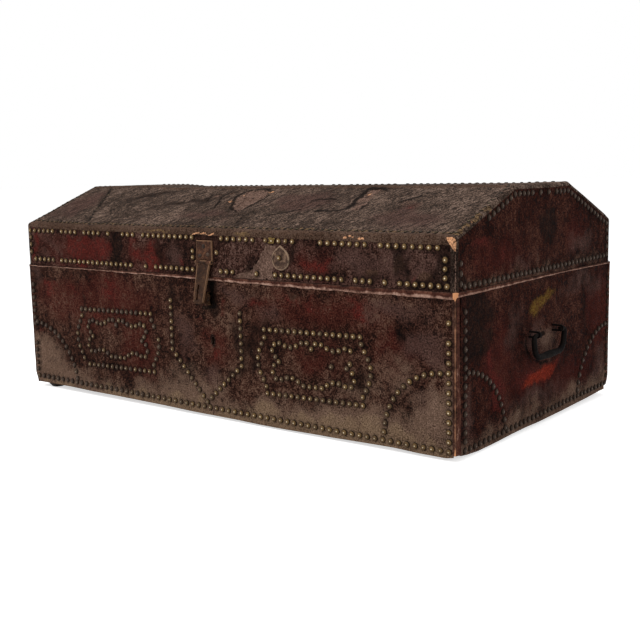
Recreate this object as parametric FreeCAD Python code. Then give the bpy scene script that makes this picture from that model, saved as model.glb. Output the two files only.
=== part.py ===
import FreeCAD
import Part
import math
import os

from FreeCAD import Vector

# A leather-covered travelling trunk with a three-plane (canted) lid.
# Frame: +X to the right as one faces the front, +Y towards the back, +Z up.
# The origin is on the floor under the middle of the trunk. Millimetres.

# Driving dimensions of the carcass
WIDTH = 1000.0
DEPTH = 555.0
FOOT_HEIGHT = 10.0
RIM_Z = FOOT_HEIGHT + 243.0
LID_GAP = 0.5
FOLD_Z = FOOT_HEIGHT + 322.6
TOP_Z = FOOT_HEIGHT + 391.8
RIDGE_INSET = 178.0
HIDE = 2.5
BOARD = 16.0
LID_BOARD = 14.0
BOTTOM_BOARD = 14.0
LAP_DEPTH = 8.0
RIM_STRIP = 2.0
RIM_LIP = 1.0
CORNER_FRONT_LEG = 6.5
CORNER_END_LEG = 14.0
CORNER_RADIUS = 6.0

# Faces of the leather and of the boards under it
LEFT, RIGHT = -WIDTH / 2, WIDTH / 2
FRONT, BACK = -DEPTH / 2, DEPTH / 2
FRONT_WOOD, BACK_WOOD = FRONT + HIDE, BACK - HIDE
FRONT_INNER, BACK_INNER = FRONT_WOOD + BOARD, BACK_WOOD - BOARD
WOOD_END = WIDTH / 2 - HIDE
INNER_END = WOOD_END - BOARD
BODY_Z = FOOT_HEIGHT
LID_Z = RIM_Z + LID_GAP
WALL_TOP = RIM_Z - RIM_STRIP

# Brass studs
STUD_RADIUS = 5.0
STUD_HEIGHT = 3.2
STUD_SIDES = 5
STUD_PITCH = 14.8
CLOSE_PITCH = 14.0
ORNAMENT_PITCH = 13.3
INNER_PITCH = 12.6
BACK_PITCH = 3 * STUD_PITCH
EDGE_INSET = 11.5
END_FRONT_INSET = 26.5
LOW_ROW_Z = BODY_Z + 5.5
BODY_LEFT_RISE = 8.5
BODY_FRONT_RISE = 13 * STUD_PITCH
BODY_LEFT_TOP = BODY_Z + 203.0
BODY_END_TOP = BODY_Z + 212.0
END_LOW_ROW = (BODY_Z + 3.0, BODY_Z + 14.5)
LID_END_INSET = 13.3
LID_END_LOW_ROW = (LID_Z + 5.8, LID_Z + 12.2)
LID_TOP_ROW_Z = FOLD_Z - 14.1
LID_LOW_ROW_Z = LID_Z + 8.5

# The two rows on the lid's front, nailed a little out of level, and its columns
LID_TOP_ROW = ((LEFT + 9.5, FOLD_Z - 9.6), (RIGHT - 30.0, FOLD_Z - 16.0))
LID_LOW_ROW = ((LEFT + 22.0, LID_Z + 12.2), (RIGHT - 14.2, LID_Z + 7.5))
LID_TOP_PITCH = 14.1
LID_LOW_PITCH = 13.6
LID_TOP_BREAK = (-30.5, 40.0)
LID_LOW_BREAK = (-30.5, 37.0)
LID_COLUMNS = (
    ((LEFT + 10.0, LID_Z + 26.5), (LEFT + 10.0, LID_Z + 55.5)),
    ((RIGHT - 17.4, LID_Z + 19.4), (RIGHT - 17.4, LID_Z + 46.1)),
)

# Hand-forged iron nails
NAIL_RADIUS = 4.0
NAIL_HEIGHT = 2.2
NAIL_SIDES = 5
HINGE_NAIL_DROPS = (20.0, 46.0, 74.0)
HINGE_NAIL_RISES = (18.0, 40.0)
HASP_NAILS = ((-9.0, FOOT_HEIGHT + 279.0), (10.0, FOOT_HEIGHT + 281.0), (0.0, FOOT_HEIGHT + 295.0))

# Turned glides under the bottom: the front left one sits nearer the edges
GLIDE_RADIUS = 18.0
GLIDE_FLAT_RADIUS = 12.0
GLIDE_BEVEL_HEIGHT = 6.0
GLIDE_SIDES = 16
GLIDE_CENTRES = {
    "foot_front_left": (LEFT + 34.5, FRONT + 25.5),
    "foot_front_right": (RIGHT - 62.0, FRONT + 54.0),
    "foot_back_left": (LEFT + 62.0, BACK - 54.0),
    "foot_back_right": (RIGHT - 62.0, BACK - 54.0),
}

# Strap hinges of the lid, on the back
HINGE_X = 300.0
HINGE_AXIS_Y = BACK + 5.8
KNUCKLE_RADIUS = 5.5
HINGE_PIN_RADIUS = 3.0
RUNNING_CLEARANCE = 0.06
STRAP_WIDTH = 34.0
STRAP_THICK = 3.0
BODY_STRAP_LENGTH = 96.0
LID_STRAP_LENGTH = 62.0
STRAP_POINT = 14.0
STRAP_START = KNUCKLE_RADIUS + 0.8
MIDDLE_KNUCKLE = 12.0
KNUCKLE_GAP = 0.4
HINGE_PIN_LENGTH = STRAP_WIDTH + 3.0

# Hasp: a slotted tongue hinged on a plate on the lid's front
HASP_AXIS_Y = FRONT - 4.3
HASP_AXIS_Z = FOOT_HEIGHT + 267.5
HASP_REST_ANGLE = 13.7
HASP_PLATE_WIDTH = 37.5
HASP_PLATE_TOP = FOOT_HEIGHT + 305.2
HASP_PLATE_THICK = 3.0
HASP_PLATE_CHAMFER = 1.0
HASP_KNUCKLE_RADIUS = 3.6
HASP_KNUCKLE_MARGIN = 0.6
HASP_PIN_RADIUS = 1.8
HASP_PIN_LENGTH = HASP_PLATE_WIDTH + 2.0
TONGUE_LENGTH = 73.0
TONGUE_TOP_WIDTH = 29.5
TONGUE_TIP_WIDTH = 22.0
TONGUE_TIP_CORNER = 4.0
TONGUE_KNUCKLE_HALF = TONGUE_TOP_WIDTH / 2 - 7.0
TONGUE_THICK = 4.0
TONGUE_BACK = 2.8
TONGUE_SLOT = (-6.0, -1.0, -66.5, -39.5)
LUG_X = (1.5, 9.0)
LUG_DROP = (-71.0, -54.0)
LUG_REACH = (21.0, 17.3)
EYE_Y = (11.8, 15.8)
EYE_Z = (-67.5, -58.5)

# Mouths in the front: one takes the hasp's lug, one the key
LUG_MOUTH_X = (-1.0, 12.0)
LUG_MOUTH_Z = (FOOT_HEIGHT + 192.0, FOOT_HEIGHT + 215.0)
KEYHOLE_X = 11.0
KEYHOLE_Z = FOOT_HEIGHT + 130.0
KEYHOLE_WIDTH = 5.0
KEYHOLE_HEIGHT = 13.0

# Lock, let into the inside of the front board
LOCK_X = (-42.0, 42.0)
LOCK_Z = (FOOT_HEIGHT + 108.0, FOOT_HEIGHT + 228.5)
LOCK_FLOOR_Y = FRONT_WOOD + 5.0
LOCK_BACK_Y = FRONT_INNER + 11.0
LOCK_WALL = 2.0
LOCK_FLANGE = 10.0
LOCK_FLANGE_THICK = 1.5
LOCK_CLEARANCE = 0.2
BOLT_Y = (LOCK_FLOOR_Y + 0.4, LOCK_FLOOR_Y + 3.6)
BOLT_BAR_Z = (HASP_AXIS_Z - 66.5, HASP_AXIS_Z - 59.5)
BOLT_TRAVEL = 16.0
BOLT_TIP_X = -1.0
BOLT_BACK_X = -34.0
BOLT_ARM_WIDTH = 8.0
BOLT_FOOT_Z = (KEYHOLE_Z + 10.5, KEYHOLE_Z + 18.0)
BOLT_FOOT_END = 8.0
BOLT_NOTCH = (-6.0, 0.0)
BOLT_NOTCH_DEPTH = 3.0
PEG_X = (-14.0, -4.0)
SPRING_MIDDLE_X = -20.0
SPRING_LENGTH = 36.0
SPRING_WIDTH = 8.0
SPRING_THICK = 1.0
SPRING_GAP = 0.4
PEG_WIDTH = 2.8
PEG_SLOT = 3.4
KEY_PIN_RADIUS = 2.0
KEY_PIN_LENGTH = 9.0

# Bail handles on the ends
PIVOT_Z = FOOT_HEIGHT + 150.0
PIVOT_STAND_OFF = 15.0
BAIL_HALF_WIDTH = 56.5
BAIL_PIN_END = 38.0
BAIL_PIN_RADIUS = 3.0
BAIL_SIDES = 8
BAIL_BAR_RADIUS = 4.6
BAIL_TOP_BEND = 8.0
BAIL_DROP = 38.0
BAIL_LOW_BEND = 20.0
BAIL_TAPER = 2.0
GRIP_RADIUS = 6.2
GRIP_HALF_LENGTH = 24.8
GRIP_SWELL = (0.35, 0.9, 1.0)
STAPLE_CENTRE = 43.0
STAPLE_WIDTH = 5.0
STAPLE_THICK = 2.6
STAPLE_BITE = 14.0
STAPLE_STEPS = 12
STAPLE_HOLE_GAP = 0.1

# Drop-shaped plate on the lid's front
DROP_X = 172.0
DROP_Z = FOOT_HEIGHT + 279.0
DROP_RADIUS = 18.5
DROP_TIP_RISE = 23.0
DROP_THICK = 1.6
DROP_STEPS = 28
DROP_NAIL = (DROP_X - 3.0, DROP_Z + 2.0)


def box(x0, x1, y0, y1, z0, z1):
    return Part.makeBox(x1 - x0, y1 - y0, z1 - z0, Vector(x0, y0, z0))


def flat(points):
    """The face inside a closed polygon of points."""
    return Part.Face(Part.makePolygon(points + points[:1]))


def closed(faces):
    """The solid inside a closed set of faces."""
    solid = Part.Solid(Part.Shell(faces))
    if solid.Volume < 0:
        solid.reverse()
    return solid


def skin(rings):
    """The solid inside a row of rings, all with the same number of corners."""
    faces = [flat(rings[0][::-1]), flat(rings[-1])]
    for a, b in zip(rings, rings[1:]):
        for k, corner in enumerate(a):
            n = (k + 1) % len(a)
            faces += [flat([corner, a[n], b[n]]), flat([corner, b[n], b[k]])]
    return closed(faces)


def prism(points, sweep):
    """A solid swept from a closed polygon of points."""
    return flat(points).extrude(sweep)


def prism_x(points, x0, x1):
    return prism([Vector(x0, y, z) for y, z in points], Vector(x1 - x0, 0, 0))


def prism_y(points, y0, y1):
    return prism([Vector(x, y0, z) for x, z in points], Vector(0, y1 - y0, 0))


def save(node, *solids):
    shape = solids[0] if len(solids) == 1 else Part.makeCompound(list(solids))
    shape.exportStep(os.path.join("parts", node + ".step"))


def mirrored_x(shape):
    return shape.mirror(Vector(0, 0, 0), Vector(1, 0, 0))


def mirrored_y(shape):
    return shape.mirror(Vector(0, 0, 0), Vector(0, 1, 0))


def bend(centre, radius, start, end, steps):
    """Points of a round bend about centre, between two angles in degrees."""
    places = []
    for i in range(steps + 1):
        turn = math.radians(start + (end - start) * i / steps)
        places.append((centre[0] + radius * math.cos(turn), centre[1] + radius * math.sin(turn)))
    return places


# Section of the lid


def lid_section(inset):
    """The lid's outline in the Y-Z plane, its planes moved inwards by inset."""
    slope = math.atan2(TOP_Z - FOLD_Z, RIDGE_INSET)
    half = DEPTH / 2
    wall = half - inset
    fold_z = FOLD_Z - inset / math.cos(slope) + inset * math.tan(slope)
    top = TOP_Z - inset
    ridge = wall - (top - fold_z) / math.tan(slope)
    right = [(ridge, top), (wall, fold_z), (wall, LID_Z)]
    left = [(-y, z) for y, z in reversed(right)]
    return left + right


def lid_plank(outer, inner, side):
    """The quadrilateral between two sections along one of the lid's five planes."""
    return [outer[side], outer[side + 1], inner[side + 1], inner[side]]


# Carcass


def make_body_boards():
    """Four walls lapped at the corners, and a bottom set in between them."""
    end_reach = FRONT_INNER - (BOARD - LAP_DEPTH)
    wall = box(-WOOD_END, WOOD_END, FRONT_WOOD, FRONT_INNER, BODY_Z, WALL_TOP)
    for x0, x1 in ((-WOOD_END, -INNER_END), (INNER_END, WOOD_END)):
        wall = wall.cut(box(x0, x1, end_reach, FRONT_INNER, BODY_Z, WALL_TOP))
    save("back_board", mirrored_y(wall))

    pocket = box(
        LOCK_X[0] - LOCK_CLEARANCE, LOCK_X[1] + LOCK_CLEARANCE, LOCK_FLOOR_Y, FRONT_INNER,
        LOCK_Z[0] - LOCK_CLEARANCE, LOCK_Z[1] + LOCK_CLEARANCE,
    )
    save("front_board", cut_front_mouths(wall.cut(pocket)))

    end = box(INNER_END, WOOD_END, end_reach, -end_reach, BODY_Z, WALL_TOP)
    end = end.cut(staple_holes())
    save("right_end_board", end)
    save("left_end_board", mirrored_x(end))
    bottom_z = BODY_Z + BOTTOM_BOARD
    save("bottom_board", box(-INNER_END, INNER_END, FRONT_INNER, BACK_INNER, BODY_Z, bottom_z))


def cut_front_mouths(shape):
    """Cuts the mouth for the lug and the keyhole through a piece of the front."""
    mouth = box(*LUG_MOUTH_X, FRONT - 1, LOCK_FLOOR_Y + 1, *LUG_MOUTH_Z)
    half_width, half_height = KEYHOLE_WIDTH / 2, KEYHOLE_HEIGHT / 2
    keyhole = box(
        KEYHOLE_X - half_width, KEYHOLE_X + half_width, FRONT - 1, LOCK_FLOOR_Y + 1,
        KEYHOLE_Z - half_height, KEYHOLE_Z + half_height,
    )
    return shape.cut(mouth).cut(keyhole)


def staple_holes():
    """Drillings for the legs of the right-hand staples, through hide and board."""
    holes = []
    gap = STAPLE_HOLE_GAP
    inner = BAIL_PIN_RADIUS + RUNNING_CLEARANCE
    outer = inner + STAPLE_THICK
    for y in (-STAPLE_CENTRE, STAPLE_CENTRE):
        half = STAPLE_WIDTH / 2 + gap
        for z0, z1 in ((inner, outer), (-outer, -inner)):
            low, high = PIVOT_Z + z0 - gap, PIVOT_Z + z1 + gap
            holes.append(box(INNER_END - 1, RIGHT + 1, y - half, y + half, low, high))
    return Part.makeCompound(holes)


def make_body_hides():
    """Leather over each wall, the corner strips, and the leather over the rim."""
    width_flat = WIDTH / 2 - CORNER_FRONT_LEG
    hide = box(-width_flat, width_flat, FRONT, FRONT_WOOD, BODY_Z, WALL_TOP)
    save("back_hide", mirrored_y(hide))
    save("front_hide", cut_front_mouths(hide))

    depth_flat = DEPTH / 2 - CORNER_END_LEG
    end_hide = box(WOOD_END, RIGHT, -depth_flat, depth_flat, BODY_Z, WALL_TOP)
    end_hide = end_hide.cut(staple_holes())
    save("right_end_hide", end_hide)
    save("left_end_hide", mirrored_x(end_hide))

    strip = corner_strip()
    strips = [strip, mirrored_x(strip), mirrored_y(strip), mirrored_y(mirrored_x(strip))]
    save("corner_strips", *strips)
    save("rim_strips", *rim_strips())


def corner_strip():
    """The front right corner's strip: an angle with a worn, rounded edge."""
    r = CORNER_RADIUS
    front_leg, end_leg = RIGHT - CORNER_FRONT_LEG, FRONT + CORNER_END_LEG
    outline = [(front_leg, FRONT)]
    outline += bend((RIGHT - r, FRONT + r), r, -90, 0, 3)
    outline += [
        (RIGHT, end_leg), (WOOD_END, end_leg), (WOOD_END, FRONT_WOOD), (front_leg, FRONT_WOOD),
    ]
    points = [Vector(x, y, BODY_Z) for x, y in outline]
    return prism(points, Vector(0, 0, WALL_TOP - BODY_Z))


def rim_strips():
    """Four mitred strips along the walls' tops, lipped over the front and ends."""
    outer_x, outer_front, outer_back = WIDTH / 2 + RIM_LIP, FRONT - RIM_LIP, BACK
    inner_x = INNER_END
    corners = {
        "fl": ((-outer_x, outer_front), (-inner_x, FRONT_INNER)),
        "fr": ((outer_x, outer_front), (inner_x, FRONT_INNER)),
        "br": ((outer_x, outer_back), (inner_x, BACK_INNER)),
        "bl": ((-outer_x, outer_back), (-inner_x, BACK_INNER)),
    }
    strips = []
    for a, b in (("fl", "fr"), ("fr", "br"), ("br", "bl"), ("bl", "fl")):
        outline = [corners[a][0], corners[b][0], corners[b][1], corners[a][1]]
        points = [Vector(x, y, WALL_TOP) for x, y in outline]
        strips.append(prism(points, Vector(0, 0, RIM_STRIP)))
    return strips


def make_feet():
    """Four glides, bevelled towards the floor, whittled to many sides."""
    rings = (
        (GLIDE_FLAT_RADIUS, 0), (GLIDE_RADIUS, GLIDE_BEVEL_HEIGHT), (GLIDE_RADIUS, FOOT_HEIGHT),
    )
    sections = []
    for radius, z in rings:
        corners = bend((0, 0), radius, 0, 360, GLIDE_SIDES)[:-1]
        sections.append([Vector(x, y, z) for x, y in corners])
    glide = skin(sections)
    for node, (x, y) in GLIDE_CENTRES.items():
        save(node, glide.translated(Vector(x, y, 0)))


# Lid


def make_lid():
    """Two end boards, five planks over them, and the leather outside."""
    leather = lid_section(0)
    wood = lid_section(HIDE)
    hollow = lid_section(HIDE + LID_BOARD)
    planks = (
        "lid_front_board", "lid_front_slope_board", "lid_top_board",
        "lid_back_slope_board", "lid_back_board",
    )
    for side, node in enumerate(planks):
        save(node, prism_x(lid_plank(wood, hollow, side), -WOOD_END, WOOD_END))
    end = prism_x(hollow, WOOD_END - LID_BOARD, WOOD_END)
    save("lid_right_end_board", end)
    save("lid_left_end_board", mirrored_x(end))

    hides = [prism_x(lid_plank(leather, wood, side), LEFT, RIGHT) for side in range(5)]
    save("lid_front_hide", hides[0])
    save("lid_back_hide", hides[4])
    save("lid_top_hide", hides[1].fuse([hides[2], hides[3]]).removeSplitter())
    end_hide = prism_x(wood, WOOD_END, RIGHT)
    save("lid_right_end_hide", end_hide)
    save("lid_left_end_hide", mirrored_x(end_hide))


# Nails and studs


def nail_head(point, normal, radius, height, sides):
    """A low pyramid standing on a face, as a hammered head does."""
    normal = Vector(*normal)
    across = Vector(1, 0, 0) if abs(normal.x) < 0.9 else Vector(0, 1, 0)
    other = normal.cross(across)
    other.normalize()
    across = other.cross(normal)
    base = Vector(*point)
    ring = []
    for i in range(sides):
        turn = 2 * math.pi * i / sides
        ring.append(base + across * (radius * math.cos(turn)) + other * (radius * math.sin(turn)))
    tip = base + normal * height
    faces = [flat(ring)]
    for i in range(sides):
        faces.append(flat([ring[i], ring[(i + 1) % sides], tip]))
    return closed(faces)


def stud(point, normal):
    return nail_head(point, normal, STUD_RADIUS, STUD_HEIGHT, STUD_SIDES)


def iron_nail(point, normal):
    return nail_head(point, normal, NAIL_RADIUS, NAIL_HEIGHT, NAIL_SIDES)


def row(start, end, pitch=STUD_PITCH, lost=()):
    """Evenly spaced places from start to end, without the lost ones."""
    length = math.dist(start, end)
    steps = max(1, round(length / pitch))
    places = []
    for i in range(steps + 1):
        if i not in lost:
            t = i / steps
            places.append((start[0] + (end[0] - start[0]) * t, start[1] + (end[1] - start[1]) * t))
    return places


def along(points, pitch, lost=()):
    """Places at an even step round a closed outline, without the lost ones."""
    corners = points + points[:1]
    lengths = [math.dist(a, b) for a, b in zip(corners, corners[1:])]
    step = sum(lengths) / round(sum(lengths) / pitch)
    nothing = step / 1000
    places, travelled = [], 0.0
    for a, b, length in zip(corners, corners[1:], lengths):
        while travelled < length - nothing:
            t = travelled / length
            places.append((a[0] + (b[0] - a[0]) * t, a[1] + (b[1] - a[1]) * t))
            travelled += step
        travelled -= length
    return [place for i, place in enumerate(places) if i not in lost]


def arc(centre, radius, start, end):
    """Places along an arc between two angles in degrees."""
    steps = round(radius * math.radians(abs(end - start)) / CLOSE_PITCH)
    return bend(centre, radius, start, end, steps)


def bowed(start, end, sag, steps=6):
    """Points of a shallow bow from start to end, bulging to the right by sag."""
    places = []
    for i in range(steps):
        t = i / steps
        bulge = sag * math.sin(math.pi * t)
        dx, dy = end[0] - start[0], end[1] - start[1]
        size = math.hypot(dx, dy)
        places.append((start[0] + dx * t + dy / size * bulge, start[1] + dy * t - dx / size * bulge))
    return places


# The two cartouches are one nailed figure, tipped a little: centre, lost outer, lost inner
CARTOUCHES = (
    ((-242.6, FOOT_HEIGHT + 110.1), (18, 39), ()),
    ((232.7, FOOT_HEIGHT + 107.8), (), (8,)),
)
CARTOUCHE_HALF_WIDTH = 99.8
CARTOUCHE_HALF_HEIGHT = 54.2
CARTOUCHE_SHOULDER = 14.5
CARTOUCHE_BOW = 17.5
CARTOUCHE_TILT = 1.2
INNER_RIGHT_HALF = [
    (0, 28), (10, 38.5), (23, 36), (36, 28.5), (51, 27), (64, 33), (76, 34), (84.5, 22),
    (80, 12), (68.5, 3), (81, -5), (84.5, -18), (77, -28.5), (66, -27.5), (47, -22),
    (34, -26), (20, -34.5), (0, -34.5),
]
STRAY_STUD = (272.0, FOOT_HEIGHT + 111.0)

# Quarter arcs in the lower corners: centre, radius, first and last angle
FRONT_QUARTERS = (
    ((-495.0, BODY_Z - 2.0), 129.0, 84.0, 10.0),
    ((480.6, BODY_Z + 14.8), 107.6, 177.4, 93.5),
)
END_QUARTERS = (
    ((-254.0, BODY_Z - 10.0), 130.3, 84.5, 9.5),
    ((268.0, BODY_Z + 5.0), 124.0, 172.0, 96.0),
)

# The shield below the hasp, open at the top
SHIELD = ((-91.0, 205.0), (-91.0, 116.0), (-6.0, 29.0), (78.5, 102.0), (78.0, 193.0))


# Odd studs that hold the leather beside the hasp's plate
BESIDE_HASP = [
    (-30.0, FOOT_HEIGHT + 286.0), (-30.0, FOOT_HEIGHT + 275.0), (28.0, FOOT_HEIGHT + 285.0),
]


def cartouche(centre, lost_outer, lost_inner):
    """A rectangle of studs, its sides bowed between short shoulders, round a scalloped one."""
    w, h = CARTOUCHE_HALF_WIDTH, CARTOUCHE_HALF_HEIGHT
    side = h - CARTOUCHE_SHOULDER
    outer = [(-w, h), (w, h)] + bowed((w, side), (w, -side), -CARTOUCHE_BOW)
    outer += [(w, -side), (w, -h), (-w, -h)] + bowed((-w, -side), (-w, side), -CARTOUCHE_BOW)
    outer.append((-w, side))
    inner = INNER_RIGHT_HALF + [(-x, z) for x, z in reversed(INNER_RIGHT_HALF[1:-1])]
    places = along(outer, ORNAMENT_PITCH, lost_outer) + along(inner, INNER_PITCH, lost_inner)
    turn = math.radians(CARTOUCHE_TILT)
    c, s = math.cos(turn), math.sin(turn)
    return [(centre[0] + x * c - z * s, centre[1] + x * s + z * c) for x, z in places]


def body_front_places():
    side = WIDTH / 2 - EDGE_INSET
    low_left, low_right = (-side, LOW_ROW_Z + BODY_LEFT_RISE), (side, LOW_ROW_Z)
    places = row(low_left, low_right)
    places += row(low_left, (-side, BODY_LEFT_TOP), ORNAMENT_PITCH, lost=(0, 6, 7))
    places += row(low_right, (side, LOW_ROW_Z + BODY_FRONT_RISE), lost=(0, 12))
    for a, b in zip(SHIELD, SHIELD[1:]):
        places += row(a, b, ORNAMENT_PITCH)[:-1]
    places.append(SHIELD[-1])
    for figure in CARTOUCHES:
        places += cartouche(*figure)
    places.append(STRAY_STUD)
    for quarter in FRONT_QUARTERS:
        places += arc(*quarter)
    return places


def body_end_places():
    low_front = (FRONT + END_FRONT_INSET, END_LOW_ROW[0])
    low_back = (BACK - EDGE_INSET, END_LOW_ROW[1])
    places = row(low_front, low_back)
    for foot in (low_front, low_back):
        places += row(foot, (foot[0], BODY_END_TOP), CLOSE_PITCH, lost=(0,))
    for quarter in END_QUARTERS:
        places += arc(*quarter)
    return places


def lid_front_places():
    """Rows along the top and foot of the lid's front, broken by the hasp and by losses."""
    places = broken_row(
        LID_TOP_ROW, LID_TOP_BREAK, LID_TOP_PITCH, (6, 11, 16, 18, 19, 23), (6, 12, 13, 14, 22)
    )
    places += broken_row(
        LID_LOW_ROW, LID_LOW_BREAK, LID_LOW_PITCH, (5, 22, 23, 25), (3, 4, 5, 7, 8, 20, 24, 26)
    )
    for foot, head in LID_COLUMNS:
        places += row(foot, head)
    return places + BESIDE_HASP


def broken_row(ends, gap, pitch, lost_left, lost_right):
    """The two parts of a straight row with a gap for the hasp between them."""
    left, right = ends
    fall = (right[1] - left[1]) / (right[0] - left[0])
    stop, start = [(x, left[1] + fall * (x - left[0])) for x in gap]
    return row(left, stop, pitch, lost_left) + row(start, right, pitch, lost_right)


def lid_end_places(lost=()):
    side = DEPTH / 2 - LID_END_INSET
    low_front, low_back = LID_END_LOW_ROW
    corners = lid_section(LID_END_INSET)[1:-1] + [(side, low_back), (-side, low_front)]
    return along(corners, STUD_PITCH, lost)


def back_places(low, high, rows_at):
    """Plain rows at the back: along each height in rows_at, and up both sides."""
    side = WIDTH / 2 - EDGE_INSET
    places = []
    for z in rows_at:
        places += row((-side, z), (side, z), BACK_PITCH)
    for x in (-side, side):
        places += row((x, low), (x, high), BACK_PITCH)
    return [(x, z) for x, z in places if not under_strap(x)]


def under_strap(x):
    return abs(abs(x) - HINGE_X) < STRAP_WIDTH / 2 + STUD_RADIUS


# Studs gone from the lid's right end: up the front slope, along the top, and in front
LOST_LID_END = (0, 1, 2, 3, 4, 5, 17, 19, 21, 80)


def make_studs():
    save("body_front_studs", *[stud((x, FRONT, z), (0, -1, 0)) for x, z in body_front_places()])
    save("right_end_studs", *[stud((RIGHT, y, z), (1, 0, 0)) for y, z in body_end_places()])
    save("left_end_studs", *[stud((LEFT, y, z), (-1, 0, 0)) for y, z in body_end_places()])
    save("lid_front_studs", *[stud((x, FRONT, z), (0, -1, 0)) for x, z in lid_front_places()])
    right_places = lid_end_places(LOST_LID_END)
    save("lid_right_end_studs", *[stud((RIGHT, y, z), (1, 0, 0)) for y, z in right_places])
    save("lid_left_end_studs", *[stud((LEFT, y, z), (-1, 0, 0)) for y, z in lid_end_places()])
    low = LOW_ROW_Z
    body_rows = back_places(low + BACK_PITCH, low + 5 * BACK_PITCH, (low,))
    save("body_back_studs", *[stud((x, BACK, z), (0, 1, 0)) for x, z in body_rows])
    lid_rows = back_places(
        LID_LOW_ROW_Z + STUD_PITCH, LID_TOP_ROW_Z - STUD_PITCH, (LID_LOW_ROW_Z, LID_TOP_ROW_Z)
    )
    save("lid_back_studs", *[stud((x, BACK, z), (0, 1, 0)) for x, z in lid_rows])


# Hinges


def strap(length, sign):
    """A tapering strap on the back, from near the knuckles to a pointed end."""
    half, tip = STRAP_WIDTH / 2, STRAP_WIDTH / 3
    shoulder = length - STRAP_POINT
    outline = [
        (-half, STRAP_START), (half, STRAP_START), (tip, shoulder), (0, length), (-tip, shoulder),
    ]
    return prism_y([(x, RIM_Z + sign * z) for x, z in outline], BACK, BACK + STRAP_THICK)


def knuckle(x0, x1, y, z, radius, bore):
    barrel = Part.makeCylinder(radius, x1 - x0, Vector(x0, y, z), Vector(1, 0, 0))
    return barrel.cut(Part.makeCylinder(bore, x1 - x0 + 2, Vector(x0 - 1, y, z), Vector(1, 0, 0)))


def knuckle_web(x0, x1, sign):
    """The strap's tongue that runs up to and round a knuckle."""
    z0, z1 = sorted((RIM_Z, RIM_Z + sign * STRAP_START))
    web = box(x0, x1, BACK, BACK + STRAP_THICK, z0, z1)
    bore = HINGE_PIN_RADIUS + RUNNING_CLEARANCE
    barrel = Part.makeCylinder(bore, x1 - x0, Vector(x0, HINGE_AXIS_Y, RIM_Z), Vector(1, 0, 0))
    return web.cut(barrel)


def make_hinge(side, x):
    """One strap hinge: two knuckles on the body, one between them on the lid."""
    bore = HINGE_PIN_RADIUS + RUNNING_CLEARANCE
    half, inner = STRAP_WIDTH / 2, MIDDLE_KNUCKLE / 2
    body = strap(BODY_STRAP_LENGTH, -1)
    for x0, x1 in ((-half, -inner - KNUCKLE_GAP), (inner + KNUCKLE_GAP, half)):
        body = body.fuse(knuckle_web(x0, x1, -1))
        body = body.fuse(knuckle(x0, x1, HINGE_AXIS_Y, RIM_Z, KNUCKLE_RADIUS, bore))
    lid = strap(LID_STRAP_LENGTH, 1)
    lid = lid.fuse(knuckle_web(-inner, inner, 1))
    lid = lid.fuse(knuckle(-inner, inner, HINGE_AXIS_Y, RIM_Z, KNUCKLE_RADIUS, bore))
    start = Vector(-HINGE_PIN_LENGTH / 2, HINGE_AXIS_Y, RIM_Z)
    pin = Part.makeCylinder(HINGE_PIN_RADIUS, HINGE_PIN_LENGTH, start, Vector(1, 0, 0))
    place = Vector(x, 0, 0)
    save(f"hinge_{side}_body_strap", body.removeSplitter().translated(place))
    save(f"hinge_{side}_lid_strap", lid.removeSplitter().translated(place))
    return pin.translated(place)


def make_hinge_nails():
    face = BACK + STRAP_THICK
    body, lid = [], []
    for x in (-HINGE_X, HINGE_X):
        for drop in HINGE_NAIL_DROPS:
            body.append(iron_nail((x, face, RIM_Z - drop), (0, 1, 0)))
        for rise in HINGE_NAIL_RISES:
            lid.append(iron_nail((x, face, RIM_Z + rise), (0, 1, 0)))
    save("hinge_body_nails", *body)
    save("hinge_lid_nails", *lid)


# Hasp


def hasp_box(x0, x1, y0, y1, z0, z1):
    """A box measured from the hasp's pivot, with the tongue hanging closed."""
    return box(
        x0, x1, HASP_AXIS_Y + y0, HASP_AXIS_Y + y1, HASP_AXIS_Z + z0, HASP_AXIS_Z + z1
    )


def make_hasp():
    """Plate with two outer knuckles, pin, and a tongue with slot and lug."""
    half, inner = HASP_PLATE_WIDTH / 2, TONGUE_KNUCKLE_HALF
    bore = HASP_PIN_RADIUS + RUNNING_CLEARANCE
    low = HASP_AXIS_Z + HASP_KNUCKLE_RADIUS + HASP_KNUCKLE_MARGIN
    plate = box(-half, half, FRONT - HASP_PLATE_THICK, FRONT, low, HASP_PLATE_TOP)
    rims = [edge for edge in plate.Edges if on_plate_rim(edge)]
    plate = plate.makeChamfer(HASP_PLATE_CHAMFER, rims)
    for x0, x1 in ((-half, -inner - KNUCKLE_GAP), (inner + KNUCKLE_GAP, half)):
        web = box(x0, x1, FRONT - HASP_PLATE_THICK, FRONT, HASP_AXIS_Z, low)
        web = web.cut(
            Part.makeCylinder(bore, x1 - x0, Vector(x0, HASP_AXIS_Y, HASP_AXIS_Z), Vector(1, 0, 0))
        )
        barrel = knuckle(x0, x1, HASP_AXIS_Y, HASP_AXIS_Z, HASP_KNUCKLE_RADIUS, bore)
        plate = plate.fuse(web).fuse(barrel)
    save("hasp_plate", plate.removeSplitter())
    start = Vector(-HASP_PIN_LENGTH / 2, HASP_AXIS_Y, HASP_AXIS_Z)
    save("hasp_pin", Part.makeCylinder(HASP_PIN_RADIUS, HASP_PIN_LENGTH, start, Vector(1, 0, 0)))
    face = FRONT - HASP_PLATE_THICK
    save("hasp_nails", *[iron_nail((x, face, z), (0, -1, 0)) for x, z in HASP_NAILS])
    save("hasp_tongue", hasp_tongue(inner, bore))


def on_plate_rim(edge):
    """True for the edges round the plate's outer face, apart from the knuckle side."""
    middle = edge.CenterOfMass
    outside = middle.y < FRONT - HASP_PLATE_THICK / 2
    return outside and middle.z > HASP_AXIS_Z + 2 * HASP_KNUCKLE_RADIUS


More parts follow.
